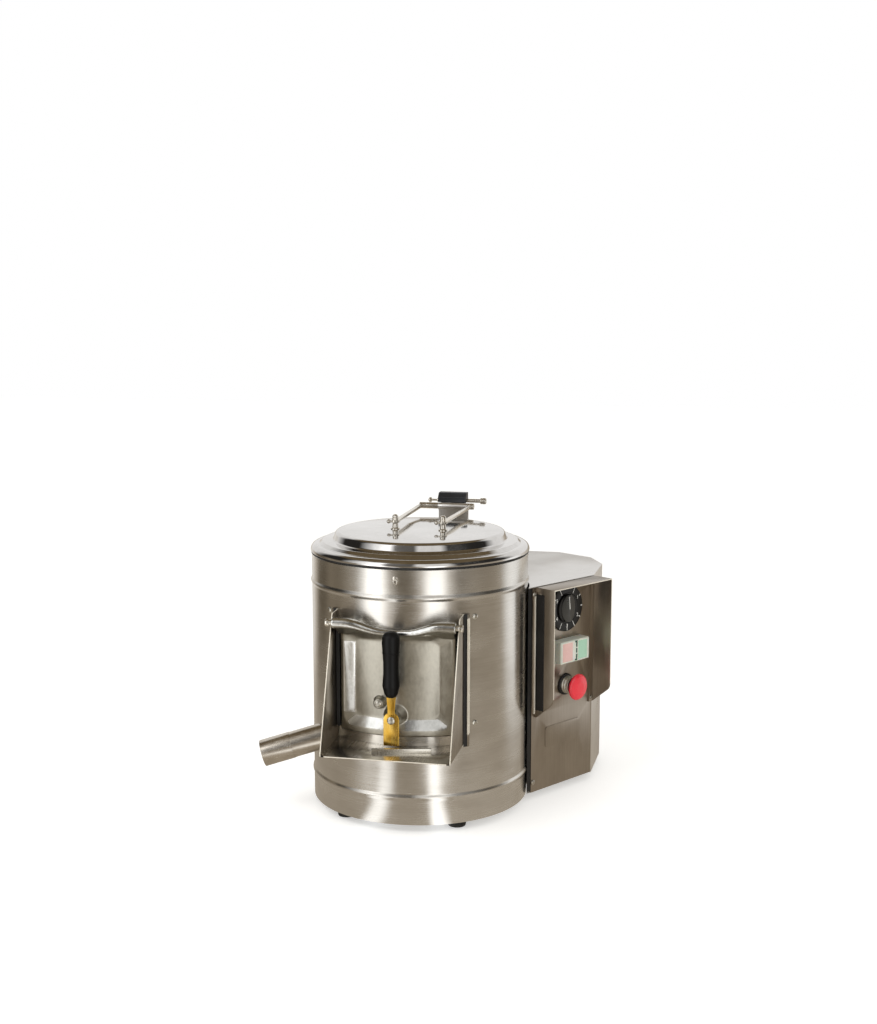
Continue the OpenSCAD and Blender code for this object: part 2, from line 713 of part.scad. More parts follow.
module fan_cover() color("#2d3035") at_motor() difference() {
    translate([0, 0, motor_high]) cylinder(r = motor_r - 1, h = motor_top - motor_high);
    translate([0, 0, motor_high - 1]) cylinder(r = motor_r - 2.5, h = motor_top - motor_high - 0.5);
    for (a = [0:30:330]) rotate([0, 0, a]) translate([20, -2, motor_top - 3]) cube([34, 4, 6]);
}

module motor_fan() color("#44484d") at_motor() translate([0, 0, fan_z]) {
    ring(14, motor_shaft_r, 16);
    for (a = [0:45:315]) rotate([0, 0, a]) translate([13, -1.2, 2]) cube([42, 2.4, 13]);
    ring(52, 13, 2.4);
}

module motor_shaft() color("#9a9da1") at_motor() translate([0, 0, 30]) cylinder(r = motor_shaft_r, h = 222);

module motor_pulley() color("#5d6166") at_motor() translate([0, 0, belt_z])
    pulley(small_r, motor_shaft_r, 14, 11, 12);

module motor_plate() color("#6e7073") along_housing() {
    difference() {
        translate([170, -88, 60]) cube([132, 176, motor_low - 60]);
        cylinder(r = keep_r, h = 100);
        translate([motor_reach, 0, 59]) cylinder(r = 18, h = 20);
    }
    for (p = [[192, 78], [192, -78], [292, 78], [292, -78]]) translate([p.x, p.y, foot_h + 3])
        cylinder(r = 7, h = 45);
}

module run_capacitor() color("#b9bcc0") at_motor() translate([-12, 93, 90]) {
    cylinder(r = 19, h = 78);
    translate([0, 0, 78]) cylinder(r = 12, h = 7);
    translate([-10, -24.4, 30]) cube([20, 8, 16]);
}

module contactor() color("#3a3d40") along_housing() translate([170, panel_w + 3.2, 56]) difference() {
    cube([46, 42, 72]);
    for (z = [-1, 60], x = [5, 18, 31]) translate([x, 30, z]) cube([10, 14, 13]);
}

// ---------- housing ----------

// The plan of the housing, drawn back by a given amount from its outside faces
module housing_plan(back) {
    k = (housing_half - back) / housing_half;
    shorter = (end_far - back - flat_end) / (end_far - flat_end);
    far = [for (p = end_plan) [flat_end + (p.x - flat_end) * shorter, p.y * k]];
    difference() {
        polygon(concat([[60, -housing_half + back]], [for (p = far) [p.x, -p.y]],
            [for (i = [2, 1, 0]) far[i]], [[60, housing_half - back]]));
        circle(r = keep_r);
    }
}

module housing_shell() color("#bfbbb4") along_housing() {
    translate([0, 0, housing_top - sheet]) linear_extrude(sheet) housing_plan(0);
    difference() {
        translate([0, 0, foot_h]) linear_extrude(housing_top - sheet - foot_h) difference() {
            housing_plan(0);
            housing_plan(sheet);
            translate([0, panel_w - 1]) square([flat_end - sheet, 4]);
            translate([0, housing_half - 3]) square([panel_u0, 4]);
        }
        for (i = [0:vents - 1]) translate([end_far - 20, -30 + 10 * i - 2, 60]) cube([40, 4, 60]);
        translate(gland_at) rotate([-90, 0, 0]) translate([0, 0, -5]) cylinder(r = 8, h = 20);
    }
}

module housing_base() color("#8b8b88") along_housing() difference() {
    translate([0, 0, foot_h + 0.5]) linear_extrude(plate_t) housing_plan(sheet + 0.1);
    for (i = [0:4]) translate([250 + 16 * i, -30, 0]) cube([6, 60, 40]);
}

module edge_strips() color("#141414") along_housing() for (s = [-1, 1]) difference() {
    strip_low = foot_h + plate_t + 0.7;
    translate([80, s > 0 ? housing_half - 7.4 : 0.4 - housing_half, strip_low])
        cube([panel_u0 - 80.2, 7, housing_top - sheet - 0.2 - strip_low]);
    cylinder(r = keep_r, h = housing_top, $fn = 720);
}

// Screw places on the panel, with z pointing out of it
module at_panel_screws(places) { for (p = places) on_panel(p.x, p.y) rotate([90, 0, 0]) children(); }

module panel_screw_holes() {
    at_panel_screws(panel_screw_at) translate([0, 0, -10]) cylinder(r = panel_shank_r + running, h = 20);
    at_panel_screws(hood_screw_at) translate([0, 0, -10]) cylinder(r = hood_shank_r + running, h = 20);
}

module control_panel() color("#b5b0a8") difference() {
    union() {
        on_panel(panel_u0, 0) translate([0, 0, foot_h + 0.6])
            cube([flat_end - sheet - 0.2 - panel_u0, sheet, housing_top - sheet - 0.8 - foot_h]);
        on_panel(171, 92) rotate([90, 0, 0]) linear_extrude(1) rounded_plate(80, 32, 5);
    }
    on_panel(dial_at.x, dial_at.y) panel_round(6, -5, 5);
    for (x = [-button_x, button_x]) on_panel(switch_at.x + x, switch_at.y) panel_block(9, 9, -5, 5);
    on_panel(stop_at.x, stop_at.y) panel_round(11, -5, 5);
    panel_screw_holes();
}

module panel_screws() color("gainsboro") {
    at_panel_screws(panel_screw_at) slot_screw(3.8, 2.4, panel_shank_r, 8);
    at_panel_screws(hood_screw_at) translate([0, 0, sheet]) slot_screw(3, 1.8, hood_shank_r, 6);
}

module hood_wing() {
    difference() {
        translate([0, -hood_out, hood_low]) cube([sheet, hood_out, housing_top - 2 - hood_low]);
        translate([-1, -hood_out, hood_low]) rotate([90, 0, 90]) linear_extrude(sheet + 2)
            polygon([[-1, -1], [-1, hood_rise], [0, hood_rise], [0.6, hood_rise - 4.5],
                [2.4, hood_rise - 8.5], [5.5, hood_rise - 11.5], [hood_out - sheet, 0],
                [hood_out - sheet, -1]]);
    }
}

module control_hood() color("#a39d93") difference() {
    union() {
        on_panel(hood_u0, housing_top - sheet - 1) translate([0, -hood_out, 0])
            cube([hood_u1 - hood_u0, hood_out, sheet]);
        for (u = [hood_u0, hood_u1 - sheet]) on_panel(u, 0) hood_wing();
        for (u = [hood_u0, hood_u1 - hood_tab]) on_panel(u, hood_low) translate([0, -sheet, 0])
            cube([hood_tab, sheet - 0.05, housing_top - 2 - hood_low]);
    }
    panel_screw_holes();
}

// ---------- controls ----------

module timer_body() color("#d9d4c4") on_panel(dial_at.x, dial_at.y) difference() {
    panel_block(52, 52, -42, -sheet - 0.1);
    panel_round(4, -14, 0);
}

module timer_plate() color("#101010") on_panel(dial_at.x, dial_at.y) difference() {
    union() {
        panel_round(dial_d / 2, 0, 2);
        rotate([90, 0, 0]) translate([0, 0, 2]) cylinder(r1 = dial_d / 2, r2 = dial_d / 2 - 1.5, h = 1);
    }
    panel_round(6, -1, 5);
}

module timer_knob() color("#242424") on_panel(dial_at.x, dial_at.y) {
    panel_round(3, -12, 5);
    rotate([90, 0, 0]) translate([0, 0, 3.4]) cylinder(r1 = 21.5, r2 = 21, h = 1.6);
    rotate([90, 0, 0]) translate([0, 0, 4.9]) intersection() {
        cylinder(r = 20.8, h = 4);
        for (x = [-11, 11]) translate([x, 0, 0]) cylinder(r1 = 26.5, r2 = 25, h = 4);
        translate([0, 25, 0]) rotate([90, 0, 0]) linear_extrude(50)
            polygon([[-16, 0], [16, 0], [16, 0.6], [0, 3.6], [-16, 0.6]]);
    }
}

module switch_block() color("#2b2b2b") on_panel(switch_at.x, switch_at.y) {
    panel_block(62, 30, -38, -sheet - 7);
    for (x = [-30, 30]) translate([x, 0, 0]) panel_block(2, 30, -sheet - 7, -sheet);
    difference() {
        panel_block(cover_w - 4, cover_h - 4, 0, 2);
        for (x = [-button_x, button_x]) translate([x, 0, 0]) panel_block(9, 9, -1, 4);
    }
}

module switch_cover() color([0.93, 0.92, 0.8, 0.45]) on_panel(switch_at.x, switch_at.y) difference() {
    panel_block(cover_w, cover_h, 0, cover_out);
    panel_block(cover_w - 3, cover_h - 3, -1, cover_out - 1);
}

module push_button(x) {
    back = 2 + button_travel + 1;
    on_panel(switch_at.x + x, switch_at.y) {
        panel_block(27, 27, back, cap_out);
        panel_block(8, 8, -4, back);
    }
}
module start_button() color("#3fae7c") push_button(button_x);
module stop_button() color("#d98d8b") push_button(-button_x);

module estop_collar() color("silver") on_panel(stop_at.x, stop_at.y) difference() {
    union() {
        panel_round(11, -12, 2);
        panel_round(16.4, 0.05, 2);
        panel_round(13.5, 2, collar_out);
        panel_round(17, -8, -sheet - 0.1);
    }
    panel_round(stem_r + running, -20, 25);
}

module estop_plunger() color("#2f2f2f") on_panel(stop_at.x, stop_at.y) {
    panel_round(stem_r, -10, collar_out + stop_travel);
    panel_round(5, collar_out + stop_travel, collar_out + stop_travel + 6);
}

module estop_head() color("#d3202c") on_panel(stop_at.x, stop_at.y) difference() {
    back = collar_out + stop_travel + 0.2;
    rotate([90, 0, 0]) translate([0, 0, back]) rotate_extrude() polygon([[0, 0], [12, 0],
        [stop_d / 2 - 1.5, 2], [stop_d / 2, 3.5], [stop_d / 2 - 0.3, 5.5], [stop_d / 2 - 2.5, 7.6],
        [stop_d / 2 - 6, 9], [8, 10], [0, 10.3]]);
    panel_round(5 + running, back - 1, back + 6);
}

module cable_gland() color("#1b1b1b") along_housing() translate(gland_at) rotate([-90, 0, 0]) difference() {
    union() {
        translate([0, 0, -6]) cylinder(r = 12, h = 5.9, $fn = 6);
        translate([0, 0, -0.2]) cylinder(r = 8, h = 3);
        translate([0, 0, sheet + 0.1]) cylinder(r = 12, h = 7, $fn = 6);
        translate([0, 0, sheet + 7]) cylinder(r1 = 10.5, r2 = 8, h = 10);
    }
    translate([0, 0, -20]) cylinder(r = 4.5, h = 60);
}

outer_shell();
base_plate();
rubber_feet();
drum_liner();
chamber_floor();
drain_pipe();
water_inlet();
discharge_chute();
chute_seal();
liner_screws();
strike_bar();
door_pins();
door_casting();
door_seal();
latch_lever();
latch_handle();
latch_screw();
lid_shell();
lid_gasket();
lid_posts();
post_pins();
lid_bail();
lid_catch();
hinge_bracket();
safety_switch();
switch_rod();
peeling_disc();
abrasive_top();
disc_nut();
drive_shaft();
shaft_seal();
bearing_housing();
ball_bearings();
drum_pulley();
drive_belt();
motor_body();
fan_cover();
motor_fan();
motor_shaft();
motor_pulley();
motor_plate();
run_capacitor();
contactor();
housing_shell();
housing_base();
edge_strips();
control_panel();
panel_screws();
control_hood();
timer_body();
timer_plate();
timer_knob();
switch_block();
switch_cover();
start_button();
stop_button();
estop_collar();
estop_plunger();
estop_head();
cable_gland();
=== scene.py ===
"""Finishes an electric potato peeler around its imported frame.

Lengths inside the functions are in millimetres, measured from the drum's own axis on the table:
x to the right, y to the back, z up. The housing has its own directions: u along it, away from the
drum, and out, away from its control panel.
"""

import contextlib
import functools
import json
import math

import bpy
from mathutils import Matrix, Vector

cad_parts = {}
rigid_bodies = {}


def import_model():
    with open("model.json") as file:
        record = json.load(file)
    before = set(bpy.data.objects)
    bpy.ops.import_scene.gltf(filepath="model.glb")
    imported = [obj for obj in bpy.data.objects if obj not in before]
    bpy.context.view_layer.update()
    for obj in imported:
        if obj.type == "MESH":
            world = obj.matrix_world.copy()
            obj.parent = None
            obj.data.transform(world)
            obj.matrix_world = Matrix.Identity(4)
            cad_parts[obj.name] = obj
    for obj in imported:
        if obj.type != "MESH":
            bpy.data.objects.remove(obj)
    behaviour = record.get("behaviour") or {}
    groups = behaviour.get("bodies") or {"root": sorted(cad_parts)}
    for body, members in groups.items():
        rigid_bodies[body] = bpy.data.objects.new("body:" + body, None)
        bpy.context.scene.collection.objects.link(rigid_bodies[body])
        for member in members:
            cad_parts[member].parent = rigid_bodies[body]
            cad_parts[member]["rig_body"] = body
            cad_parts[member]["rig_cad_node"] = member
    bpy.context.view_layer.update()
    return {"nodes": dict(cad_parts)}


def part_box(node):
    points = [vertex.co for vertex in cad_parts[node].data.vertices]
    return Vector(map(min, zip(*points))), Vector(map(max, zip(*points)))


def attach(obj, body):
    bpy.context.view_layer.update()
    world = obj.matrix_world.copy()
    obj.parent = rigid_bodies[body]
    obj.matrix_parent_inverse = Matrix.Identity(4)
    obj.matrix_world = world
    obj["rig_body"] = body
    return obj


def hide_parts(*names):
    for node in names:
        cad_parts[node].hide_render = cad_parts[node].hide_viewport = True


bl_info = {
    "name": "Electric Potato Peeler",
    "version": (1, 0, 0),
    "blender": (4, 5, 0),
    "location": "View3D > Sidebar > Peeler",
    "description": "Models and finishes the pieces of an electric potato peeler",
    "category": "Object",
}

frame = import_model()
MM = 0.001


def middle(name):
    """The middle of a node's box, in metres."""
    low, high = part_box(name)
    return (low + high) / 2


# ---------- sizes and places, in millimetres ----------

DRUM_IN = (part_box("drum_liner")[1].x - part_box("drum_liner")[0].x) / 2 / MM
WALL = 1.5
DRUM_R = DRUM_IN + WALL
FOOT_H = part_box("outer_shell")[0].z / MM
SEAM_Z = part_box("outer_shell")[1].z / MM
BEAD_HEIGHTS = (52, 338)
BEAD_OUT = 1.8
DRAIN_FROM, DRAIN_TO = (-133, -91, 111), math.radians(195)      # where it leaves, and which way it points
DRAIN_TILT = math.radians(106)                                  # from upright
DRAIN_IN, DRAIN_NECK, DRAIN_OUT = 18, 19, 19.5
INLET_Z, INLET_TO = 352, math.radians(140)
DRUM_FOOT_REACH, DRUM_FOOT_TURNS = 136, (-55, -130, 130, 55)
HOUSING_FOOT_U, HOUSING_FOOT_W = 290, 70
LID_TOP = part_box("lid_shell")[1].z / MM
POST_Y = -7
POST_HALF_GAP = 36
POST_HOLE_Z = LID_TOP + 11
HINGE_Y, HINGE_Z = 182, 419
BAIL_LEFT, BAIL_RIGHT = -38, 42
SWITCH_ROD_Y, SWITCH_ROD_Z = 201, 425.5
DOOR_FACE, DOOR_BACK = 168, 162.6
DOOR_W = 168
DOOR_LOW, DOOR_TOP = 142.5, 297
DOOR_PIN_Y, DOOR_PIN_Z = -170, 302
DOOR_SCREW_X, DOOR_SCREW_Z = -22, 190
ROLL = ((60, 302, 8), (45, 297.2, 6.8), (32, 293.2, 5.8), (20, 291, 5), (0, 290.5, 4))    # x, z, radius
LATCH_Z = 172
LEVER_OUT = 184
CATCH_Z = 366
TRAY_Z = 128
CHUTE_HALF = 91.5
HOUSING_TURN = math.radians(56.1)
PANEL_W = -134.5
DIAL_AT = (175.5, 285)
SWITCH_AT = (178, 221.5)
STOP_AT = (177, 166.5)
SHEET = 1.5

# ---------- the stage ----------

CAMERA_AT, CAMERA_LOOKS, CAMERA_LENS = (0.4252, -2.0892, 0.7468), (-0.2016, 0.9684, -0.1471), 50.4
LAMPS = (("key", (-1.1, -1.6, 1.9), 1.2, 20), ("fill", (1.8, -1.2, 1.5), 1.4, 9))   # place, size, power
WORLD_STRENGTH, FLOOR_GLOW, SURROUND_GLOW = 0.75, 0.4, 2.2
BOWL = [(20, 1), (380, 2), (700, 24), (1300, 120), (1800, 420), (2000, 900), (2000, 1500), (1700, 2100),
        (1000, 2500), (0, 2600)]
NEAR_FADE, HIGH_FADE, ROOF_FADE = (0.003, 0.05), (0.4, 0.55), (1.8, 2.1)    # heights in metres

# Directions to the right of the front, in degrees, and how bright the surround is there
LOW_BANDS = [(-180, 0.15), (-160, 0.25), (-138, 0.42), (-124, 0.26), (-115, 0.07), (-102, 0.06), (-90, 0.12),
             (-78, 0.1), (-66, 0.13), (-54, 0.15), (-46, 0.48), (-40, 1.0), (-26, 1.0), (-18, 0.3),
             (-9, 0.09), (0, 0.09), (8, 0.13), (14, 0.32), (21, 1.0), (34, 1.0), (40, 0.3), (50, 0.09),
             (66, 0.16), (90, 0.18), (101, 0.22), (109, 0.48), (116, 0.58), (128, 0.5), (140, 0.34),
             (158, 0.26), (168, 0.17)]
NEAR_BANDS = [(-180, 0.2), (-25, 0.2), (-20, 0.75), (-14, 0.75), (-8, 0.22), (17, 0.2), (21, 0.85),
              (26, 0.85), (31, 0.22), (60, 0.24), (90, 0.2), (120, 0.2), (160, 0.16)]
HIGH_BANDS = [(-180, 0.42), (-125, 0.42), (-105, 0.012), (-74, 0.012), (-50, 0.5), (-30, 0.8), (-22, 0.07),
              (4, 0.06), (10, 0.42), (40, 0.4), (50, 0.012), (108, 0.012), (125, 0.42)]

# ---------- places ----------

AXIS = Vector((middle("drum_liner").x, middle("drum_liner").y, 0))
MACHINE = Matrix.Translation(AXIS)
HOUSING = MACHINE @ Matrix.Rotation(HOUSING_TURN, 4, "Z")
STAND_OUT = Matrix.Rotation(math.pi / 2, 4, "X")                # lays an upright piece down to the front
TO_RIGHT = Matrix.Rotation(math.pi / 2, 4, "Y")                 # lays an upright piece down to the right
SIDE_ON = Matrix.Rotation(math.pi / 2, 4, "Z") @ STAND_OUT      # draws (y, z) and extrudes to the right
AS_DRAWN = Matrix.Identity(4)


def at(x, y, z):
    """A move in millimetres."""
    return Matrix.Translation((x * MM, y * MM, z * MM))


def on_panel(u, z):
    """A place on the control panel, with z pointing out of it."""
    return HOUSING @ at(u, PANEL_W, z) @ STAND_OUT


def turned_by(angle, axis="Z"):
    """A turn about one of the main directions."""
    return Matrix.Rotation(angle, 4, axis)


def drain_place():
    """The drain pipe's axis, with z pointing out of its end."""
    return MACHINE @ at(*DRAIN_FROM) @ turned_by(DRAIN_TO) @ turned_by(DRAIN_TILT, "Y")


def hinge_end(side):
    """The door's hinge axis, with z pointing to the right (1) or to the left (-1)."""
    return MACHINE @ at(0, DOOR_PIN_Y, DOOR_PIN_Z) @ turned_by(side * math.pi / 2, "Y")


def door_place(out=LEVER_OUT, x=0, z=LATCH_Z):
    """A place in front of the door, with z pointing out."""
    return MACHINE @ at(x, -out, z) @ STAND_OUT


def along(first, last):
    """A place at one point with z pointing to another, and their distance in millimetres."""
    way = Vector(last) - Vector(first)
    return MACHINE @ at(*first) @ way.to_track_quat("Z", "Y").to_matrix().to_4x4(), way.length


# ---------- modelling ----------

def deselect():
    """Leaves edit mode and selects nothing."""
    if bpy.context.object and bpy.context.object.mode != "OBJECT":
        bpy.ops.object.mode_set(mode="OBJECT")
    bpy.ops.object.select_all(action="DESELECT")


def pick(*objects):
    """Selects these objects alone, the last one active."""
    deselect()
    for obj in objects:
        obj.select_set(True)
    bpy.context.view_layer.objects.active = objects[-1]


def start(kind, name, **size):
    """Adds a primitive."""
    deselect()
    getattr(bpy.ops.mesh, f"primitive_{kind}_add")(**size)
    obj = bpy.context.object
    obj.name = obj.data.name = name
    return obj


@contextlib.contextmanager
def editing(obj, kind="VERT"):
    """Edit mode on one object."""
    pick(obj)
    bpy.ops.object.mode_set(mode="EDIT")
    bpy.ops.mesh.select_mode(type=kind)
    yield obj
    bpy.ops.object.mode_set(mode="OBJECT")


def choose(obj, kind, test):
    """In edit mode, selects the faces (middle, normal) or edges (middle, direction) that pass a test."""
    bpy.ops.mesh.select_mode(type=kind)
    bpy.ops.mesh.select_all(action="DESELECT")
    bpy.ops.object.mode_set(mode="OBJECT")
    mesh = obj.data
    if kind == "FACE":
        for face in mesh.polygons:
            face.select = bool(test(face.center / MM, face.normal))
    else:
        for edge in mesh.edges:
            a, b = (mesh.vertices[i].co for i in edge.vertices)
            edge.select = bool(test((a + b) / 2 / MM, (b - a).normalized()))
    bpy.ops.object.mode_set(mode="EDIT")


def settle(obj, matrix=AS_DRAWN):
    """Moves a piece and puts its place into its mesh."""
    pick(obj)
    obj.matrix_world = matrix @ obj.matrix_world
    bpy.ops.object.transform_apply(location=True, rotation=True, scale=True)
    return obj


def modify(obj, kind, **settings):
    """Applies one modifier."""
    pick(obj)
    modifier = obj.modifiers.new(kind.title(), kind)
    for key, value in settings.items():
        setattr(modifier, key, value)
    bpy.ops.object.modifier_apply(modifier=modifier.name)
    return obj


def cut(obj, other, operation="DIFFERENCE"):
    """Cuts one solid out of another, or keeps what they share (INTERSECT), or adds them up (UNION)."""
    modify(obj, "BOOLEAN", operation=operation, solver="EXACT", object=other)
    bpy.data.objects.remove(other)
    return obj


def soften(obj, width, segments=2, angle=30):
    """Rounds every sharp edge by a width in millimetres."""
    return modify(obj, "BEVEL", width=width * MM, segments=segments, limit_method="ANGLE",
                  angle_limit=math.radians(angle), use_clamp_overlap=True)


def smooth(obj, angle=32):
    """Shades smooth, apart from real edges."""
    pick(obj)
    bpy.ops.object.shade_smooth_by_angle(angle=math.radians(angle))
    return obj


def joined(name, *parts):
    """Joins several meshes into one piece."""
    pick(*parts)
    bpy.ops.object.join()
    obj = bpy.context.object
    obj.name = obj.data.name = name
    return obj


def copied(obj, matrix):
    """A copy with its own mesh, moved."""
    pick(obj)
    bpy.ops.object.duplicate()
    return settle(bpy.context.object, matrix)


def rounded(corners, steps=5):
    """An outline whose corners (x, y, radius) become arcs; a corner without a radius stays sharp."""
    points = []
    for i, corner in enumerate(corners):
        if len(corner) == 2:
            points.append(corner)
            continue
        here = Vector(corner[:2])
        back = (Vector(corners[i - 1][:2]) - here).normalized()
        ahead = (Vector(corners[(i + 1) % len(corners)][:2]) - here).normalized()
        half = back.angle(ahead) / 2
        centre = here + (back + ahead).normalized() * corner[2] / math.sin(half)
        first = here + back * corner[2] / math.tan(half) - centre
        turn = math.copysign(math.pi - 2 * half, back.cross(ahead))
        for k in range(steps + 1):
            angle = -turn * k / steps
            points.append(tuple(centre + Matrix.Rotation(angle, 2) @ first))
    return points


def drawn(name, outline, tilt):
    """Draws an outline, extruding a vertex from point to point."""
    places = [tilt @ Vector((x * MM, y * MM, 0)) for x, y in outline]
    obj = start("plane", name, size=MM, location=places[0])
    with editing(obj):
        bpy.ops.mesh.merge(type="CENTER")
        for here, ahead in zip(places, places[1:]):
            bpy.ops.mesh.extrude_vertices_move(TRANSFORM_OT_translate={"value": ahead - here})
    return obj


def turned(name, outline, matrix=MACHINE, sides=96, closed=False):
    """Turns an outline of (radius, height) about the upright axis, then sets it in place."""
    obj = drawn(name, outline + outline[:1] if closed else outline, STAND_OUT.to_3x3())
    with editing(obj):
        bpy.ops.mesh.select_all(action="SELECT")
        bpy.ops.mesh.spin(steps=sides, angle=2 * math.pi, center=(0, 0, 0), axis=(0, 0, 1))
        bpy.ops.mesh.select_all(action="SELECT")
        bpy.ops.mesh.remove_doubles(threshold=1e-6)
        bpy.ops.mesh.normals_make_consistent(inside=False)
    return settle(obj, matrix)


def extruded(name, outline, depth, matrix=MACHINE):
    """Fills a closed outline and extrudes it along z, then sets it in place."""
    obj = drawn(name, outline, Matrix.Identity(3))
    with editing(obj):
        bpy.ops.mesh.select_all(action="SELECT")
        bpy.ops.mesh.edge_face_add()
        bpy.ops.mesh.extrude_region_move(TRANSFORM_OT_translate={"value": (0, 0, depth * MM)})
        bpy.ops.mesh.select_all(action="SELECT")
        bpy.ops.mesh.normals_make_consistent(inside=False)
    return settle(obj, matrix)


def block(name, low, high, matrix=MACHINE):
    """A block between two corners."""
    low, high = Vector(low) * MM, Vector(high) * MM
    obj = start("cube", name, size=1, location=(low + high) / 2, scale=high - low)
    return settle(obj, matrix)


def lettered(name, figure, size, matrix):
    """A printed figure, as tall as the size in millimetres."""
    deselect()
    bpy.ops.object.text_add()
    text = bpy.context.object
    text.name = name
    text.data.body, text.data.size, text.data.extrude = figure, size * MM, 0.07 * MM
    text.data.align_x = text.data.align_y = "CENTER"
    bpy.ops.object.convert(target="MESH")
    return settle(bpy.context.object, matrix)


def bar(name, radius, low, high, matrix=MACHINE, edge=0.5, sides=48):
    """A round bar with softened ends."""
    outline = rounded([(0, low), (radius, low, edge), (radius, high, edge), (0, high)], steps=3)
    return turned(name, outline, matrix, sides)


def taken(node, name):
    """A merged copy of a node's mesh, with its flat faces whole again, to be shaped further."""
    pick(frame["nodes"][node])
    bpy.ops.object.duplicate()
    obj = bpy.context.object
    obj.name = obj.data.name = name
    bpy.ops.object.parent_clear(type="CLEAR_KEEP_TRANSFORM")
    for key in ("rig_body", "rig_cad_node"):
        del obj[key]
    bpy.ops.mesh.customdata_custom_splitnormals_clear()
    with editing(obj):
        bpy.ops.mesh.select_all(action="SELECT")
        bpy.ops.mesh.remove_doubles(threshold=2e-6)
        bpy.ops.mesh.dissolve_limited(angle_limit=math.radians(0.6))
    return obj


def fit(obj, body, material, slot, *nodes):
    """Gives a finished piece its material and body, and hides the nodes it stands for."""
    obj.data.materials.clear()
    obj.data.materials.append(material)
    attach(obj, body)
    if nodes:
        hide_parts(*nodes)
    return obj


def trim(obj, material, test):
    """Gives the faces that pass a test a second material."""
    obj.data.materials.append(material)
    with editing(obj, "FACE"):
        choose(obj, "FACE", test)
        obj.active_material_index = len(obj.data.materials) - 1
        bpy.ops.object.material_slot_assign()
    return obj


def refined(node, name, body, material, slot, width, segments=2, angle=30):
    """Fits a copy of a node's own shape with its edges softened by a width in millimetres."""
    obj = smooth(soften(taken(node, name), width, segments, angle))
    return fit(obj, body, material, slot, node)


def dress(material, *nodes):
    """Gives nodes whose shape is already right their material."""
    for name in nodes:
        obj = frame["nodes"][name]
        obj.data.materials.clear()
        obj.data.materials.append(material)


# ---------- materials ----------

def tint(code):
    """Turns an sRGB hex colour into the linear values that a shader takes."""
    channels = (int(code[i:i + 2], 16) / 255 for i in (1, 3, 5))
    return [c / 12.92 if c <= 0.04045 else ((c + 0.055) / 1.055) ** 2.4 for c in channels] + [1.0]


def add_node(tree, kind, inputs=None, ramp=None, **settings):
    """Adds a node, sets it, and fills its inputs with values or with other nodes' outputs."""
    made = tree.nodes.new(kind)
    for key, value in settings.items():
        setattr(made, key, value)
    for socket, value in (inputs or {}).items():
        if isinstance(value, bpy.types.Node):
            value = value.outputs[0]
        if isinstance(value, bpy.types.NodeSocket):
            tree.links.new(value, made.inputs[socket])
        else:
            made.inputs[socket].default_value = value
    for i, (position, colour) in enumerate(ramp or ()):
        stops = made.color_ramp.elements
        stop = stops[i] if i < len(stops) else stops.new(position)
        stop.position, stop.color = position, colour
    return made


def cleared(data):
    """Empties the node tree of a material or a world."""
    data.use_nodes = True
    data.node_tree.nodes.clear()
    return data.node_tree


def pattern(tree, size, turn=0.0, detail=3):
    """A noise whose features have a size in millimetres along x, y and z, turned about z."""
    coords = add_node(tree, "ShaderNodeTexCoord")
    placed = add_node(tree, "ShaderNodeMapping", {"Vector": coords.outputs["Object"],
                      "Rotation": (0, 0, turn), "Scale": [s * MM for s in size]}, vector_type="TEXTURE")
    return add_node(tree, "ShaderNodeTexNoise", {"Vector": placed, "Scale": 1.0, "Detail": detail})


def finish(name, dark, light, rough, fine, broad=(45, 45, 45), turn=0.0, relief=0.02, detail=3, metal=1.0,
           tangent=None, **sockets):
    """A surface whose colour drifts between two tints over broad patches, while a fine pattern moves its
    roughness between two values and raises its relief, in millimetres."""
    material = bpy.data.materials.new(name)
    tree = cleared(material)
    grain = pattern(tree, fine, turn, detail)
    patches = pattern(tree, broad, turn, 5)
    mixed = add_node(tree, "ShaderNodeMath", {0: grain, 1: 0.35, 2: add_node(
        tree, "ShaderNodeMath", {0: patches, 1: 0.65}, operation="MULTIPLY")}, operation="MULTIPLY_ADD")
    colour = add_node(tree, "ShaderNodeValToRGB", {"Fac": mixed}, ramp=[
        (0.36, tint(dark)), (0.64, tint(light))])
    roughness = add_node(tree, "ShaderNodeMapRange", {"Value": mixed, "From Min": 0.3, "From Max": 0.7,
                         "To Min": rough[0], "To Max": rough[1]})
    bump = add_node(tree, "ShaderNodeBump", {"Height": grain, "Strength": 1.0, "Distance": relief * MM})
    shader = add_node(tree, "ShaderNodeBsdfPrincipled", {"Base Color": colour, "Roughness": roughness,
                      "Normal": bump, "Metallic": metal, **sockets})
    if tangent:
        tree.links.new(add_node(tree, "ShaderNodeTangent", direction_type="RADIAL", axis=tangent).outputs[0],
                       shader.inputs["Tangent"])
    add_node(tree, "ShaderNodeOutputMaterial", {"Surface": shader})
    return material


@functools.cache
def brushed_drum_steel():
    """Stainless sheet, belt-brushed round the drum: fine level lines that draw lights out upwards."""
    return finish("brushed_stainless_drum", "#c5c1ba", "#dad7d1", (0.2, 0.31), fine=(170, 170, 0.5),
                  broad=(70, 70, 30), relief=0.0015, tangent="Z", Anisotropic=0.75,
                  **{"Anisotropic Rotation": 0.25})


@functools.cache
def satin_sheet_painted_shade():
    """Stainless sheet with an upright satin grain, as folded guards have, tinted dark and brownish: painted
    shade.
    """
    return finish("satin_stainless_sheet_painted_shade", "#968e82", "#aea69a", (0.24, 0.36), fine=(0.7, 0.7, 50),
                  relief=0.006)


@functools.cache
def worn_tray_steel():
    """The same sheet on the chute's floor, rubbed bright by what slides over it."""
    return finish("rubbed_stainless_tray", "#d9d4cb", "#ebe7df", (0.2, 0.32), fine=(0.7, 60, 0.7),
                  relief=0.006)


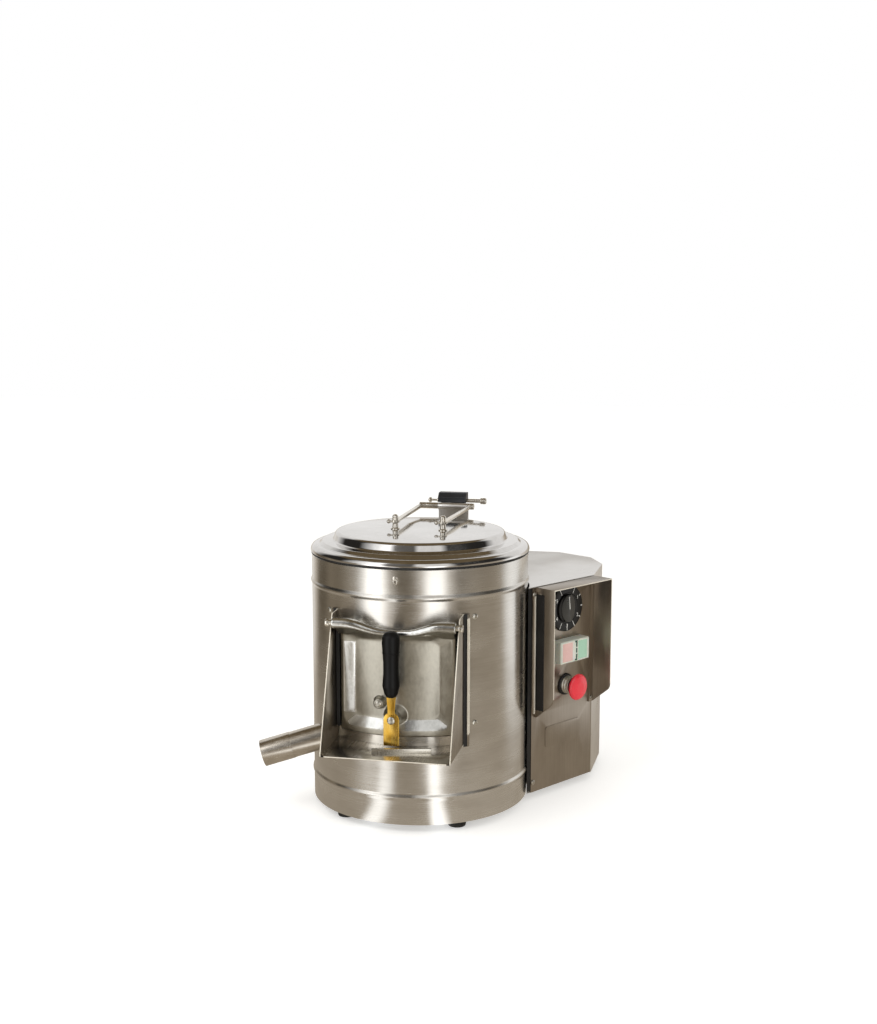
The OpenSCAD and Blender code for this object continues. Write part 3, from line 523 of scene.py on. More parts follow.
@functools.cache
def edge_highlight_steel():
    """Cut and deburred sheet edges, rough, in a light cream tint that paints a highlight along them."""
    return finish("sheet_edge_painted_highlight", "#d8d0c0", "#f0eadc", (0.42, 0.58), fine=(1.5, 1.5, 1.5),
                  relief=0.01, metal=0.45)


@functools.cache
def housing_steel():
    """The same sheet on the housing, with its grain along the housing."""
    return finish("satin_stainless_housing", "#dad8d5", "#e9e8e6", (0.26, 0.38), fine=(50, 0.7, 0.9),
                  turn=HOUSING_TURN, relief=0.006)


@functools.cache
def panel_painted_shade_steel():
    """Control panel sheet: upright brushing like fine threads, tinted dark and brownish: painted shade."""
    return finish("brushed_stainless_panel_painted_shade", "#9a9186", "#b1a89c", (0.27, 0.38), fine=(0.8, 0.8, 60),
                  turn=HOUSING_TURN, broad=(60, 60, 90), relief=0.007)


@functools.cache
def polished_lid_steel():
    """Spun stainless, buffed: almost a mirror, with faint turning rings and wiped patches."""
    return finish("polished_stainless_lid", "#cccac7", "#dcdad8", (0.05, 0.11), fine=(6, 6, 6),
                  broad=(60, 60, 60), relief=0.004)


@functools.cache
def polished_rod_steel():
    """Drawn stainless rod, polished, with handling marks."""
    return finish("polished_stainless_rod", "#d8d2c6", "#eeeae2", (0.18, 0.3), fine=(3, 3, 3), relief=0.006)


@functools.cache
def screw_steel():
    """Zinc-plated screw steel, a little uneven."""
    return finish("zinc_plated_steel", "#b8b4aa", "#dcd9d0", (0.2, 0.34), fine=(1.2, 1.2, 1.2), relief=0.01)


@functools.cache
def polished_tube_steel():
    """Drawn stainless tube, brushed round its own axis."""
    return finish("drawn_stainless_tube", "#b5ada0", "#d3ccc1", (0.18, 0.28), fine=(40, 2, 2), relief=0.006,
                  turn=DRAIN_TO)


@functools.cache
def chrome():
    """Chromed brass collar."""
    return finish("chromed_collar", "#dedcd4", "#f0eee8", (0.26, 0.36), fine=(2, 2, 2), relief=0.005)


@functools.cache
def cast_aluminium():
    """Sand-cast aluminium, ground and buffed by hand: soft waves, small pits, and a bluish bright skin."""
    return finish("buffed_cast_aluminium", "#9f9b90", "#bbb7ab", (0.28, 0.42), fine=(4.5, 4.5, 7),
                  broad=(34, 34, 40), relief=0.12, detail=4)


@functools.cache
def buffed_aluminium_painted_highlight():
    """The casting's slopes and rolled edge, where the buffing wheel reached: smoother, and a painted
    highlight.
    """
    return finish("buffed_aluminium_painted_highlight", "#c6c6c2", "#e2e2df", (0.14, 0.24), fine=(4.5, 4.5, 7),
                  broad=(34, 34, 40), relief=0.08, detail=4)


@functools.cache
def polished_brass():
    """Cast brass, polished, darker where hands don't reach."""
    return finish("polished_brass", "#c99a34", "#f2d075", (0.2, 0.34), fine=(1.6, 1.6, 12), relief=0.02)


@functools.cache
def phenolic_black():
    """Black phenolic moulding with a waxy gloss and faint moulding waves."""
    return finish("black_phenolic", "#040404", "#0a0a0a", (0.36, 0.5), fine=(1.5, 1.5, 1.5), relief=0.02,
                  metal=0.0, **{"Specular IOR Level": 0.22})


@functools.cache
def black_rubber():
    """Vulcanised rubber: matt, slightly grey where it's dusty."""
    return finish("black_rubber", "#0e0d0c", "#22201e", (0.55, 0.75), fine=(1, 1, 1), relief=0.03, metal=0.0,
                  IOR=1.52)


@functools.cache
def black_abs():
    """Moulded black ABS with a fine spark-eroded texture."""
    return finish("black_abs", "#16181b", "#282b2f", (0.32, 0.46), fine=(0.6, 0.6, 0.6), relief=0.02,
                  metal=0.0, IOR=1.54)


@functools.cache
def dial_black():
    """Black anodised scale plate."""
    return finish("black_anodised_plate", "#0a0a0b", "#161617", (0.3, 0.42), fine=(0.9, 0.9, 0.9),
                  relief=0.01, metal=0.2, IOR=1.5)


@functools.cache
def knob_grey():
    """Charcoal ABS knob, smoother where fingers turn it."""
    return finish("charcoal_abs", "#2a2a28", "#3e3d3a", (0.26, 0.4), fine=(1, 1, 1), relief=0.015, metal=0.0,
                  IOR=1.54)


@functools.cache
def white_print():
    """Screen-printed white ink, slightly uneven."""
    return finish("white_print_ink", "#d8d6cf", "#f0eee8", (0.45, 0.6), fine=(0.8, 0.8, 0.8), relief=0.01,
                  metal=0.0)


@functools.cache
def red_abs():
    """Glossy red ABS of an emergency stop."""
    return finish("red_abs", "#d2182a", "#e6283a", (0.26, 0.36), fine=(2, 2, 2), relief=0.01, metal=0.0,
                  IOR=1.54, **{"Coat Weight": 0.2, "Coat Roughness": 0.15, "Subsurface Weight": 0.05})


@functools.cache
def frosted_silicone():
    """Cream silicone splash boot, thin enough for the buttons' colours to come through."""
    return finish("cream_silicone", "#ece6cf", "#f6f1e2", (0.3, 0.42), fine=(2, 2, 2), relief=0.02, metal=0.0,
                  IOR=1.41, **{"Transmission Weight": 0.25, "Subsurface Weight": 0.2})


@functools.cache
def window_pink():
    """Pink-tinted silicone window over the off button."""
    return finish("pink_tinted_silicone", "#e3b4ac", "#efc8c0", (0.3, 0.42), fine=(2, 2, 2), relief=0.02,
                  metal=0.0, IOR=1.41, **{"Transmission Weight": 0.2})


@functools.cache
def window_green():
    """Green-tinted silicone window over the on button."""
    return finish("green_tinted_silicone", "#a3d2b4", "#b9dfc6", (0.3, 0.42), fine=(2, 2, 2), relief=0.02,
                  metal=0.0, IOR=1.41, **{"Transmission Weight": 0.2})


@functools.cache
def shade_green():
    """Dark green gasket rubber between the two windows."""
    return finish("dark_green_rubber", "#1f3b2c", "#2f5a43", (0.45, 0.6), fine=(1, 1, 1), relief=0.02,
                  metal=0.0)


@functools.cache
def button_pink():
    """Faded red polycarbonate of the off button."""
    return finish("faded_red_polycarbonate", "#d4645f", "#e67f78", (0.3, 0.4), fine=(2, 2, 2), relief=0.01,
                  metal=0.0, IOR=1.58)


@functools.cache
def button_green():
    """Green polycarbonate of the on button."""
    return finish("green_polycarbonate", "#239a63", "#3db67c", (0.3, 0.4), fine=(2, 2, 2), relief=0.01,
                  metal=0.0, IOR=1.58)


@functools.cache
def machined_steel():
    """Turned steel with oil-dark tool marks."""
    return finish("machined_steel", "#85878a", "#aeb0b2", (0.24, 0.4), fine=(2, 2, 0.5), relief=0.01)


@functools.cache
def galvanised_steel():
    """Hot-dip galvanised plate with its spangle."""
    return finish("galvanised_steel", "#8b8d8e", "#b4b6b7", (0.34, 0.52), fine=(9, 9, 9), relief=0.01,
                  broad=(14, 14, 14), detail=0)


@functools.cache
def worn_liner_steel():
    """Stamped liner, scuffed by potatoes."""
    return finish("scuffed_stainless_liner", "#8f8b84", "#b1ada5", (0.32, 0.5), fine=(14, 14, 1.2),
                  relief=0.03)


@functools.cache
def bonded_grit():
    """Coarse silicon carbide grit in resin."""
    return finish("bonded_silicon_carbide", "#2b2825", "#6d665c", (0.6, 0.9), fine=(1.3, 1.3, 1.3),
                  relief=0.9, metal=0.0, detail=6)


@functools.cache
def disc_aluminium():
    """Gravity-cast disc, skimmed on its faces."""
    return finish("cast_aluminium_disc", "#9c9d9b", "#c0c1be", (0.32, 0.46), fine=(2, 2, 2), relief=0.05)


@functools.cache
def pulley_iron():
    """Cast iron under thin grey paint."""
    return finish("painted_cast_iron", "#4b4f53", "#696d71", (0.4, 0.6), fine=(1.6, 1.6, 1.6), relief=0.06,
                  metal=0.3)


@functools.cache
def motor_enamel():
    """Blue motor enamel on a finned casting."""
    return finish("blue_motor_enamel", "#2c4a68", "#3d5f80", (0.3, 0.45), fine=(1.4, 1.4, 1.4), relief=0.05,
                  metal=0.0, **{"Coat Weight": 0.3})


@functools.cache
def drawn_can():
    """Drawn aluminium can with lengthwise drawing lines."""
    return finish("drawn_aluminium_can", "#a9abae", "#cbcdcf", (0.24, 0.36), fine=(0.8, 0.8, 30), relief=0.01)


@functools.cache
def cast_brass():
    """Plain turned brass of a water fitting."""
    return finish("turned_brass", "#8c6a2c", "#c39a4c", (0.24, 0.4), fine=(1.5, 1.5, 1.5), relief=0.02)


@functools.cache
def cream_abs():
    """Cream ABS of the timer's works."""
    return finish("cream_abs", "#c9c3ae", "#ddd8c6", (0.4, 0.5), fine=(1, 1, 1), relief=0.02, metal=0.0)


# ---------- sizes and colours that a user would change ----------

class PeelerSizes(bpy.types.PropertyGroup):
    """Sizes that set how soft or heavy the details look"""
    sheet_edge: bpy.props.FloatProperty(
        name="Sheet edge", description="Rounding of cut sheet edges", default=0.3 * MM, unit="LENGTH")
    fold_radius: bpy.props.FloatProperty(
        name="Fold radius", description="Outside radius of folded sheet", default=2.2 * MM, unit="LENGTH")
    bead_height: bpy.props.FloatProperty(
        name="Bead height", description="Height of a rolled bead", default=11 * MM, unit="LENGTH")
    casting_voxel: bpy.props.FloatProperty(
        name="Casting detail", description="Finest detail of the door casting", default=0.92 * MM,
        unit="LENGTH")


class PeelerColours(bpy.types.PropertyGroup):
    """Colours of the studio"""
    background: bpy.props.FloatVectorProperty(
        name="Background", description="Colour behind the peeler", subtype="COLOR", size=4,
        default=tint("#ffffff"))
    surround: bpy.props.FloatVectorProperty(
        name="Surround", description="Colour of the dim walls that metal reflects", subtype="COLOR", size=4,
        default=tint("#8a7c66"))


# ---------- drum ----------

class PEELER_OT_drum(bpy.types.Operator):
    """Models the drum wall with its two rolled beads and its openings"""
    bl_idname = "peeler.drum"
    bl_label = "Drum"

    def execute(self, context):
        half = context.scene.peeler_sizes.bead_height / MM / 2
        lip = 0.7
        outline = rounded([(DRUM_IN, SEAM_Z, lip), (DRUM_IN, FOOT_H, lip), (DRUM_R, FOOT_H, lip)])
        for height in BEAD_HEIGHTS:
            outline += [(DRUM_R + BEAD_OUT * (1 + math.cos(math.pi * k / 8)) / 2, height + half * k / 8)
                        for k in range(-8, 9)]
        outline += rounded([(DRUM_IN, SEAM_Z, lip), (DRUM_R, FOOT_H, lip), (DRUM_R, SEAM_Z, lip)])[-6:]
        wall = turned("drum_wall", outline, sides=192, closed=True)
        opening = block("opening", (-76, -200, 157), (76, -120, 293))
        with editing(opening, "EDGE"):
            choose(opening, "EDGE", lambda m, d: abs(d.y) > 0.9)
            bpy.ops.mesh.bevel(offset=8 * MM, segments=6)
        cut(wall, opening)
        inlet_place = MACHINE @ at(0, 0, INLET_Z) @ turned_by(INLET_TO) @ TO_RIGHT
        cut(wall, bar("inlet_hole", 8, 120, 200, inlet_place))
        cut(wall, bar("drain_hole", DRAIN_NECK, -60, 60, drain_place()))
        cut(wall, block("belt_slot", (80, -112, 28), (180, 112, 60), HOUSING))
        fit(smooth(wall, 40), "base", brushed_drum_steel(), "brushed_drum", "outer_shell")
        dress(worn_liner_steel(), "drum_liner")
        dress(galvanised_steel(), "base_plate", "chamber_floor")
        return {"FINISHED"}


class PEELER_OT_drain(bpy.types.Operator):
    """Models the drain pipe with its weld, and finishes the water inlet"""
    bl_idname = "peeler.drain"
    bl_label = "Drain and inlet"

    def execute(self, context):
        root, step, end = -22, 40, 85
        pipe = turned("drain_tube", rounded([(DRAIN_IN, root), (DRAIN_NECK, root), (DRAIN_NECK, step - 0.4),
                      (DRAIN_OUT, step, 0.2), (DRAIN_OUT, end, 0.6), (DRAIN_IN, end, 0.6)]), drain_place(),
                      closed=True)
        cut(pipe, bar("drum_room", DRUM_IN - 1, 0, SEAM_Z, sides=192))
        fit(smooth(pipe), "base", polished_tube_steel(), "satin_sheet", "drain_pipe")
        dress(cast_brass(), "water_inlet")
        return {"FINISHED"}


class PEELER_OT_feet(bpy.types.Operator):
    """Models the moulded rubber feet"""
    bl_idname = "peeler.feet"
    bl_label = "Feet"

    def execute(self, context):
        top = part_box("rubber_feet")[1].z / MM
        outline = rounded([(0, 0), (12.5, 0, 1.5), (13.2, 4, 0.5), (12.4, 5.5, 0.5), (13.6, 7, 0.5),
                           (15, top, 0.8), (0, top)], steps=3)
        foot = turned("foot", outline, AS_DRAWN, sides=48)
        spots = [MACHINE @ turned_by(math.radians(turn)) @ at(DRUM_FOOT_REACH, 0, 0)
                 for turn in DRUM_FOOT_TURNS]
        spots += [HOUSING @ at(HOUSING_FOOT_U, w, 0) for w in (HOUSING_FOOT_W, -HOUSING_FOOT_W)]
        feet = joined("rubber_feet_moulded", *[copied(foot, spot) for spot in spots])
        bpy.data.objects.remove(foot)
        fit(smooth(feet), "base", black_rubber(), "black_rubber", "rubber_feet")
        return {"FINISHED"}


# ---------- discharge chute ----------

def screw(name, place, radius=4, height=2.2):
    """A pan-head screw with a slot."""
    outline = rounded([(0, -3), (radius * 0.55, -3), (radius * 0.55, 0), (radius, 0, 0.2),
                       (radius, height * 0.55, 0.5), (radius * 0.55, height, 1.5), (0, height)], steps=3)
    head = turned(name, outline, AS_DRAWN, sides=32)
    cut(head, block("slot", (-radius - 1, -0.5, height - 1), (radius + 1, 0.5, height + 1), turned_by(0.6)))
    return settle(head, place)


class PEELER_OT_chute(bpy.types.Operator):
    """Models the folded chute, its seals, screws and strike bar"""
    bl_idname = "peeler.chute"
    bl_label = "Chute"

    def execute(self, context):
        sizes = context.scene.peeler_sizes
        chute = taken("discharge_chute", "folded_chute")
        with editing(chute, "EDGE"):
            for side, height, radius in ((CHUTE_HALF, TRAY_Z - SHEET, sizes.fold_radius),
                                         (CHUTE_HALF - SHEET, TRAY_Z, sizes.fold_radius - SHEET * MM)):
                choose(chute, "EDGE", lambda m, d: abs(d.y) > 0.99 and abs(m.z - height) < 0.2
                       and abs(abs(m.x - AXIS.x / MM) - side) < 0.2)
                bpy.ops.mesh.bevel(offset=radius, segments=4)
        soften(chute, sizes.sheet_edge / MM, angle=40)
        fit(smooth(chute), "base", satin_sheet_painted_shade(), "satin_sheet", "discharge_chute")
        trim(chute, worn_tray_steel(), lambda m, n: n.z > 0.9 and abs(m.z - TRAY_Z) < 1)
        # The cheeks' front edges and the tray's front lip take the light edge tint: a painted highlight.
        trim(chute, edge_highlight_steel(), lambda m, n: abs(n.x) < 0.6 and (
            abs(abs(m.x - AXIS.x / MM) - CHUTE_HALF + SHEET / 2) < SHEET / 2 + 0.05 and m.z > TRAY_Z + 3
            or n.y < -0.6 and m.y - AXIS.y / MM < -214))

        refined("chute_seal", "chute_rubber_strips", "base", black_rubber(), "black_rubber", 0.4)

        lips, gap_shades = [], []
        for x in (-1, 1):
            # Thin bars at the flange edges, in the light edge tint: painted highlight lines.
            lips.append(block("lip_edge", (x * 97.7 - 1.3, -134.5, 142), (x * 97.7 + 1.3, -126, 308)))
            # Black strips that fill the gaps beside the door's sides: painted shade.
            gap_shades.append(block("gap_strip", (x * 87 - 2.6, -146, 147), (x * 87 + 2.6, -132, 289)))
        fit(soften(joined("flange_lip_painted_highlights", *lips), 0.3, 1), "base", edge_highlight_steel(), "satin_sheet")
        fit(soften(joined("door_gap_painted_shade", *gap_shades), 0.8), "base", black_rubber(), "black_rubber")

        refined("strike_bar", "latch_strike", "base", screw_steel(), "machined_steel", 0.5)

        heads = [screw("liner_screw", MACHINE @ at(0, 0, z) @ turned_by(math.radians(x * 41))
                       @ at(0, -DRUM_R, 0) @ STAND_OUT) for x in (-1, 1) for z in (156, 309)]
        fit(smooth(joined("liner_fasteners", *heads)), "base", screw_steel(), "machined_steel",
            "liner_screws")

        pin = rounded([(0, 60), (4, 60), (4, CHUTE_HALF + 0.1), (5.5, CHUTE_HALF + 0.1, 0.6),
                       (5.5, CHUTE_HALF + 6.1, 1.2), (0, CHUTE_HALF + 6.1)], steps=3)
        pins = [turned("door_pin", pin, hinge_end(side), sides=40) for side in (-1, 1)]
        fit(smooth(joined("door_hinge_pins", *pins)), "base", polished_rod_steel(), "polished_rod",
            "door_pins")
        return {"FINISHED"}


# ---------- door ----------

class PEELER_OT_door(bpy.types.Operator):
    """Models the cast door: a sunk panel bent round the drum, with bosses that run into it"""
    bl_idname = "peeler.door"
    bl_label = "Door"

    def plate(self):
        """The flat plate with its sunk panel, front at y 0, before it is bent round the drum."""
        half = math.asin(DOOR_W / 2 / DOOR_FACE) * DOOR_FACE
        plate = block("door_plate", (-half, 0, DOOR_LOW), (half, DOOR_FACE - DOOR_BACK, DOOR_TOP), AS_DRAWN)
        soften(plate, 1.6, 3)
        cut(plate, block("door_plug", (-77, 4, 159.5), (77, 12.4, 290.5), AS_DRAWN), "UNION")
        pocket = block("pocket", (-89.9, -4, 144.2), (89.9, 7.2, 293.6), AS_DRAWN)
        with editing(pocket, "EDGE"):
            choose(pocket, "FACE", lambda m, n: n.y > 0.9)
            bpy.ops.transform.resize(value=(0.726, 1, 0.75))
            bpy.ops.transform.translate(value=(0, 0, 3.1 * MM))
            choose(pocket, "EDGE", lambda m, d: abs(d.y) > 0.2)
            bpy.ops.mesh.bevel(offset=10 * MM, segments=8)
            choose(pocket, "EDGE", lambda m, d: m.y > 7.1)
            bpy.ops.mesh.bevel(offset=2.5 * MM, segments=4)
        cut(plate, pocket)
        modify(plate, "REMESH", mode="VOXEL", voxel_size=1.4 * MM)
        modify(plate, "SMOOTH", factor=0.5, iterations=5)
        width = plate.dimensions.x / MM
        modify(plate, "SIMPLE_DEFORM", deform_method="BEND", deform_axis="Z", angle=width / DOOR_FACE)
        return settle(plate, MACHINE @ at(0, -DOOR_FACE, 0))

    def roll(self):
        """The rolled upper edge, swept from one barrel over the sagging middle to the other."""
        right = [(84, 302, 8), (72, 302, 8), *ROLL]
        points = [(-x, z, r) for x, z, r in right] + right[-2::-1]
        deselect()
        bpy.ops.curve.primitive_nurbs_path_add()
        path = bpy.context.object
        spline = path.data.splines[0]
        spline.points.add(len(points) - len(spline.points))
        for point, (x, z, radius) in zip(spline.points, points):
            lean = 3.5 * max(0, 1 - abs(x) / 60)
            point.co = (x * MM, (DOOR_PIN_Y + lean) * MM, z * MM, 1)
            point.radius = radius
        spline.order_u, spline.use_endpoint_u, spline.resolution_u = 4, True, 8
        path.data.bevel_depth, path.data.bevel_resolution, path.data.use_fill_caps = MM, 10, True
        bpy.ops.object.convert(target="MESH")
        return settle(bpy.context.object, MACHINE)

    def execute(self, context):
        sizes = context.scene.peeler_sizes
        half = DOOR_W / 2
        parts = [self.plate()]
        above = [(x, z + r) for x, z, r in ROLL]
        above += [(-x, z) for x, z in reversed(above)] + [(-60, 330), (60, 330)]
        cut(parts[0], extruded("above_roll", above, 100, door_place(100, z=0)))
        web = extruded("top_web", [(-163, 291), (-170, 297), (-170, 302), (-130, 302), (-130, 283),
                       (-152, 283)], DOOR_W, MACHINE @ at(-half, 0, 0) @ SIDE_ON)
        cut(web, bar("drum_room", DOOR_BACK, 200, 400, sides=192))
        below = [(-x, z) for x, z, r in ROLL] + [(x, z) for x, z, r in reversed(ROLL[:-1])]
        below += [(half, 302), (half, 260), (-half, 260), (-half, 302)]
        parts.append(cut(web, extruded("below_roll", below, 100, door_place(100, z=0)), "INTERSECT"))
        parts.append(self.roll())
        barrel = rounded([(4.4, 70), (8, 70), (8, 88, 1.2), (4.4, 88, 0.4)], steps=4)
        parts += [turned("barrel", barrel, hinge_end(side), sides=48, closed=True) for side in (-1, 1)]
        arch = turned("arch", [(0, 0), (18.5, 0), (10.5, 10), (0, 10)], door_place(158), sides=64)
        parts.append(cut(arch, bar("drum_room", DOOR_BACK, 100, 159.5, sides=192)))
        parts.append(turned("pivot_boss", rounded([(0, 0), (9.6, 0), (9, 26.8, 1.5), (0, 26.8)]),
                            door_place(157), sides=48))
        parts.append(turned("screw_boss", rounded([(0, 0), (9, 0), (7.5, 16, 3), (0, 16)]),
                            door_place(156, DOOR_SCREW_X, DOOR_SCREW_Z), sides=48))
        door = joined("door_casting_buffed", *parts)
        modify(door, "REMESH", mode="VOXEL", voxel_size=sizes.casting_voxel)
        modify(door, "SMOOTH", factor=0.5, iterations=5)
        pick(door)
        bpy.ops.object.shade_smooth()
        fit(door, "door", cast_aluminium(), "cast_aluminium", "door_casting")
        front = AXIS.x / MM
        # The bottom slope's faces facing up, the pocket's left slope and the rolled top edge: smoother, and a
        # painted highlight.
        trim(door, buffed_aluminium_painted_highlight(), lambda m, n: (
            n.z > 0.25 and m.z < 168 and 14 < abs(m.x - front) < 72)
            or (n.x > -0.24 and -80 < m.x - front < -60 and 170 < m.z < 272)
            or (m.z > 284 and n.y < 0.9 and n.z > -0.3))

        refined("door_seal", "door_rubber_seal", "door", black_rubber(), "black_rubber", 0.5)
        head = screw("boss_screw", door_place(171.8, DOOR_SCREW_X, DOOR_SCREW_Z), 4.4, 1.8)
        fit(smooth(head), "door", screw_steel(), "machined_steel")
        return {"FINISHED"}


# ---------- latch ----------

class PEELER_OT_latch(bpy.types.Operator):
    """Models the brass lever, its black grip and the pivot screw"""
    bl_idname = "peeler.latch"
    bl_label = "Latch"

    def execute(self, context):
        half, toe = 11.2, 135.6 - LATCH_Z
        arch = [(half * math.cos(math.pi * k / 16), half * math.sin(math.pi * k / 16)) for k in range(17)]
        place = door_place()
        blade = extruded("blade", rounded([(-half, toe, 0.8), (half, toe, 0.8), *arch]), 3.4, place)
        soften(blade, 1.2)
        step = block("toe_step", (-half - 1, toe - 1, 2.2), (half + 1, toe + 5, 6), place)
        cut(blade, settle(step, place @ turned_by(0.2, "X") @ place.inverted()))
        neck = extruded("neck", rounded([(-5.4, 7.5, 2), (5.4, 7.5, 2), (5.2, 16, 6), (6.6, 32, 6),
                        (6.2, 46, 1), (-6.2, 46, 1), (-6.6, 32, 6), (-5.2, 16, 6)], steps=4), 4.1, place)
        soften(neck, 1.7, 4, 25)
        lever = joined("latch_blade_brass", blade, neck)
        fit(smooth(lever, 24), "latch", polished_brass(), "brass", "latch_lever")

        low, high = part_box("latch_handle")
        length = (high.z - low.z) / MM
        outline = rounded([(0, 0), (6.6, 0, 1.5), (9.6, 5, 4), (12.2, 16, 9), (10.9, 34, 16), (10.9, 50, 16),
                           (11.8, 62, 3), (12.3, 62.6, 0.3), (12.3, 63.4, 0.3), (11.9, 64), (12.7, 76, 10),
                           (11.9, 86, 8), (7, length, 6), (0, length)])
        grip = turned("latch_grip", outline, MACHINE @ at(0, -LEVER_OUT - 1.7, low.z / MM), sides=64)
        fit(smooth(grip), "latch", phenolic_black(), "black_grip", "latch_handle")

        pivot = screw("latch_pivot_screw", door_place(LEVER_OUT + 3.6), 5.5, 2.8)
        fit(smooth(pivot), "door", screw_steel(), "machined_steel", "latch_screw")
        return {"FINISHED"}


# ---------- lid ----------

class PEELER_OT_lid(bpy.types.Operator):
    """Models the spun lid, its gasket, lifting posts, pins and catch"""
    bl_idname = "peeler.lid"
    bl_label = "Lid"

    def execute(self, context):
        rim, top = DRUM_R + 1.8, LID_TOP
        outline = rounded([(rim - 6, SEAM_Z + 3.2), (rim, SEAM_Z + 3.2, 1), (rim, SEAM_Z + 13, 8.5),
                           (149, SEAM_Z + 13.4, 2.5), (144.5, top - 14, 2.2), (128.5, top - 13.4, 3),
                           (124.5, top - 0.6, 6), (60, top, 60), (0, top)], steps=6)
        lid = turned("lid_spun", outline, sides=192)
        modify(lid, "SOLIDIFY", thickness=1.3 * MM, offset=-1)
        fit(smooth(lid, 60), "lid", polished_lid_steel(), "polished_lid", "lid_shell")

        gasket = turned("lid_gasket_ring", rounded([(rim - 7.5, SEAM_Z + 0.3, 0.8), (rim - 0.8, SEAM_Z + 0.3,
                        1.2), (rim - 0.8, SEAM_Z + 3.2, 0.6), (rim - 7.5, SEAM_Z + 3.2, 0.6)], steps=3),
                        sides=192, closed=True)
        fit(smooth(gasket), "lid", black_rubber(), "black_rubber", "lid_gasket")

        post = rounded([(0, 0), (7, 0), (7, 1.2, 0.6), (4.7, 2.4, 1.5), (4.2, 6, 0.5), (4.2, 8.4, 0.3),
                        (3.7, 8.8, 0.2), (4.5, 9.4, 0.3), (4.5, 17.2, 0.2), (4.1, 17.6, 0.1), (4.5, 18, 0.2),
                        (4.5, 22, 3.4), (0, 22)], steps=4)
        posts = [turned("post", post, MACHINE @ at(x * POST_HALF_GAP, POST_Y, top), sides=48)
                 for x in (-1, 1)]
        fit(smooth(joined("lifting_posts", *posts)), "lid", polished_rod_steel(), "polished_rod",
            "lid_posts")

        ball = [(3.2 * math.sin(a), -3.2 * math.cos(a)) for a in (math.pi * k / 10 for k in range(9))]
        pin = ball + rounded([(1.6, 3.2), (1.6, 16, 0.4), (0, 16)], steps=3)
        pins = [turned("post_pin", pin, MACHINE @ at(x * POST_HALF_GAP - 10, POST_Y, POST_HOLE_Z) @ TO_RIGHT,
                       sides=32) for x in (-1, 1)]
        fit(smooth(joined("ball_pins", *pins)), "lid", polished_rod_steel(), "polished_rod", "post_pins")

        stud = turned("catch_stud", rounded([(0, 0), (3.4, 0), (3.4, 1.2, 0.4), (1.8, 1.4), (1.8, 5, 0.8),
                      (0, 5)], steps=3), door_place(DRUM_R, z=CATCH_Z), sides=32)
        wire = [(4 + 0.95 * math.cos(math.pi * k / 6), 0.95 * math.sin(math.pi * k / 6)) for k in range(12)]
        loop = turned("catch_loop", wire, MACHINE @ at(0.8, -DRUM_R - 3.4, CATCH_Z - 3.6) @ turned_by(
            math.radians(-38)) @ STAND_OUT, sides=40, closed=True)
        fit(smooth(joined("lid_catch_ring", stud, loop), 50), "base", polished_rod_steel(), "polished_rod",
            "lid_catch")
        return {"FINISHED"}


class PEELER_OT_bail(bpy.types.Operator):
    """Models the bail, the bracket it turns in, the safety switch and its rod"""
    bl_idname = "peeler.bail"
    bl_label = "Bail and safety switch"

    def execute(self, context):
        parts = []
        for x, end in ((-POST_HALF_GAP, BAIL_LEFT), (POST_HALF_GAP, BAIL_RIGHT)):
            place, length = along((x, POST_Y, POST_HOLE_Z), (end, HINGE_Y, HINGE_Z))
            parts.append(bar("arm", 3.4, -4.5, length + 2, place, edge=1))
        axle = MACHINE @ at(0, HINGE_Y, HINGE_Z) @ TO_RIGHT
        parts.append(bar("axle", 3, -40, 46, axle))
        left = rounded([(0, -41), (5, -41, 1), (5, -31, 0.3), (4.6, -30.5), (5, -30, 0.3), (5, -11, 0.6),
                        (0, -11)], steps=3)
        right = rounded([(0, 38), (5, 38, 0.6), (5, 47.5, 1), (0, 47.5)], steps=3)
        parts += [turned("collar", outline, axle, sides=48) for outline in (left, right)]
        fit(smooth(joined("lid_bail_rods", *parts)), "lid", polished_rod_steel(), "polished_rod", "lid_bail")

        refined("hinge_bracket", "bail_bracket", "base", housing_steel(), "satin_sheet", 0.5)

        body = extruded("switch_body", [(192, 423), (214, 423), (214, 438), (199, 438), (192, 431.5)], 46,
                        MACHINE @ at(-13.5, 0, 0) @ SIDE_ON)
        with editing(body, "FACE"):
            choose(body, "FACE", lambda m, n: abs(n.x) > 0.9 or n.y < -0.5)
            bpy.ops.mesh.inset(thickness=1.6 * MM, depth=-0.6 * MM, use_individual=True)
        soften(body, 0.8, 3)
        foot = soften(block("switch_foot", (-8.5, 195, 416), (29.5, 211, 424)), 0.8)
        fit(smooth(joined("lid_safety_switch", body, foot)), "base", black_abs(), "black_plastic",
            "safety_switch")

        rod = rounded([(0, -31), (1.6, -31, 0.5), (1.6, -29), (4, -29, 0.5), (4, -25.5, 0.5), (1.6, -25.5),
                       (1.6, -16), (3, -16, 0.5), (3, 55), (5, 55, 0.6), (5, 57.4, 0.3), (4.4, 57.9),
                       (5, 58.4, 0.3), (5, 64, 1.4), (2.8, 64, 0.2), (2.6, 62.5), (0, 62.5)], steps=3)
        rod = turned("safety_rod", rod, MACHINE @ at(0, SWITCH_ROD_Y, SWITCH_ROD_Z) @ TO_RIGHT, sides=40)
        fit(smooth(rod), "base", polished_rod_steel(), "polished_rod", "switch_rod")
        return {"FINISHED"}


# ---------- housing ----------

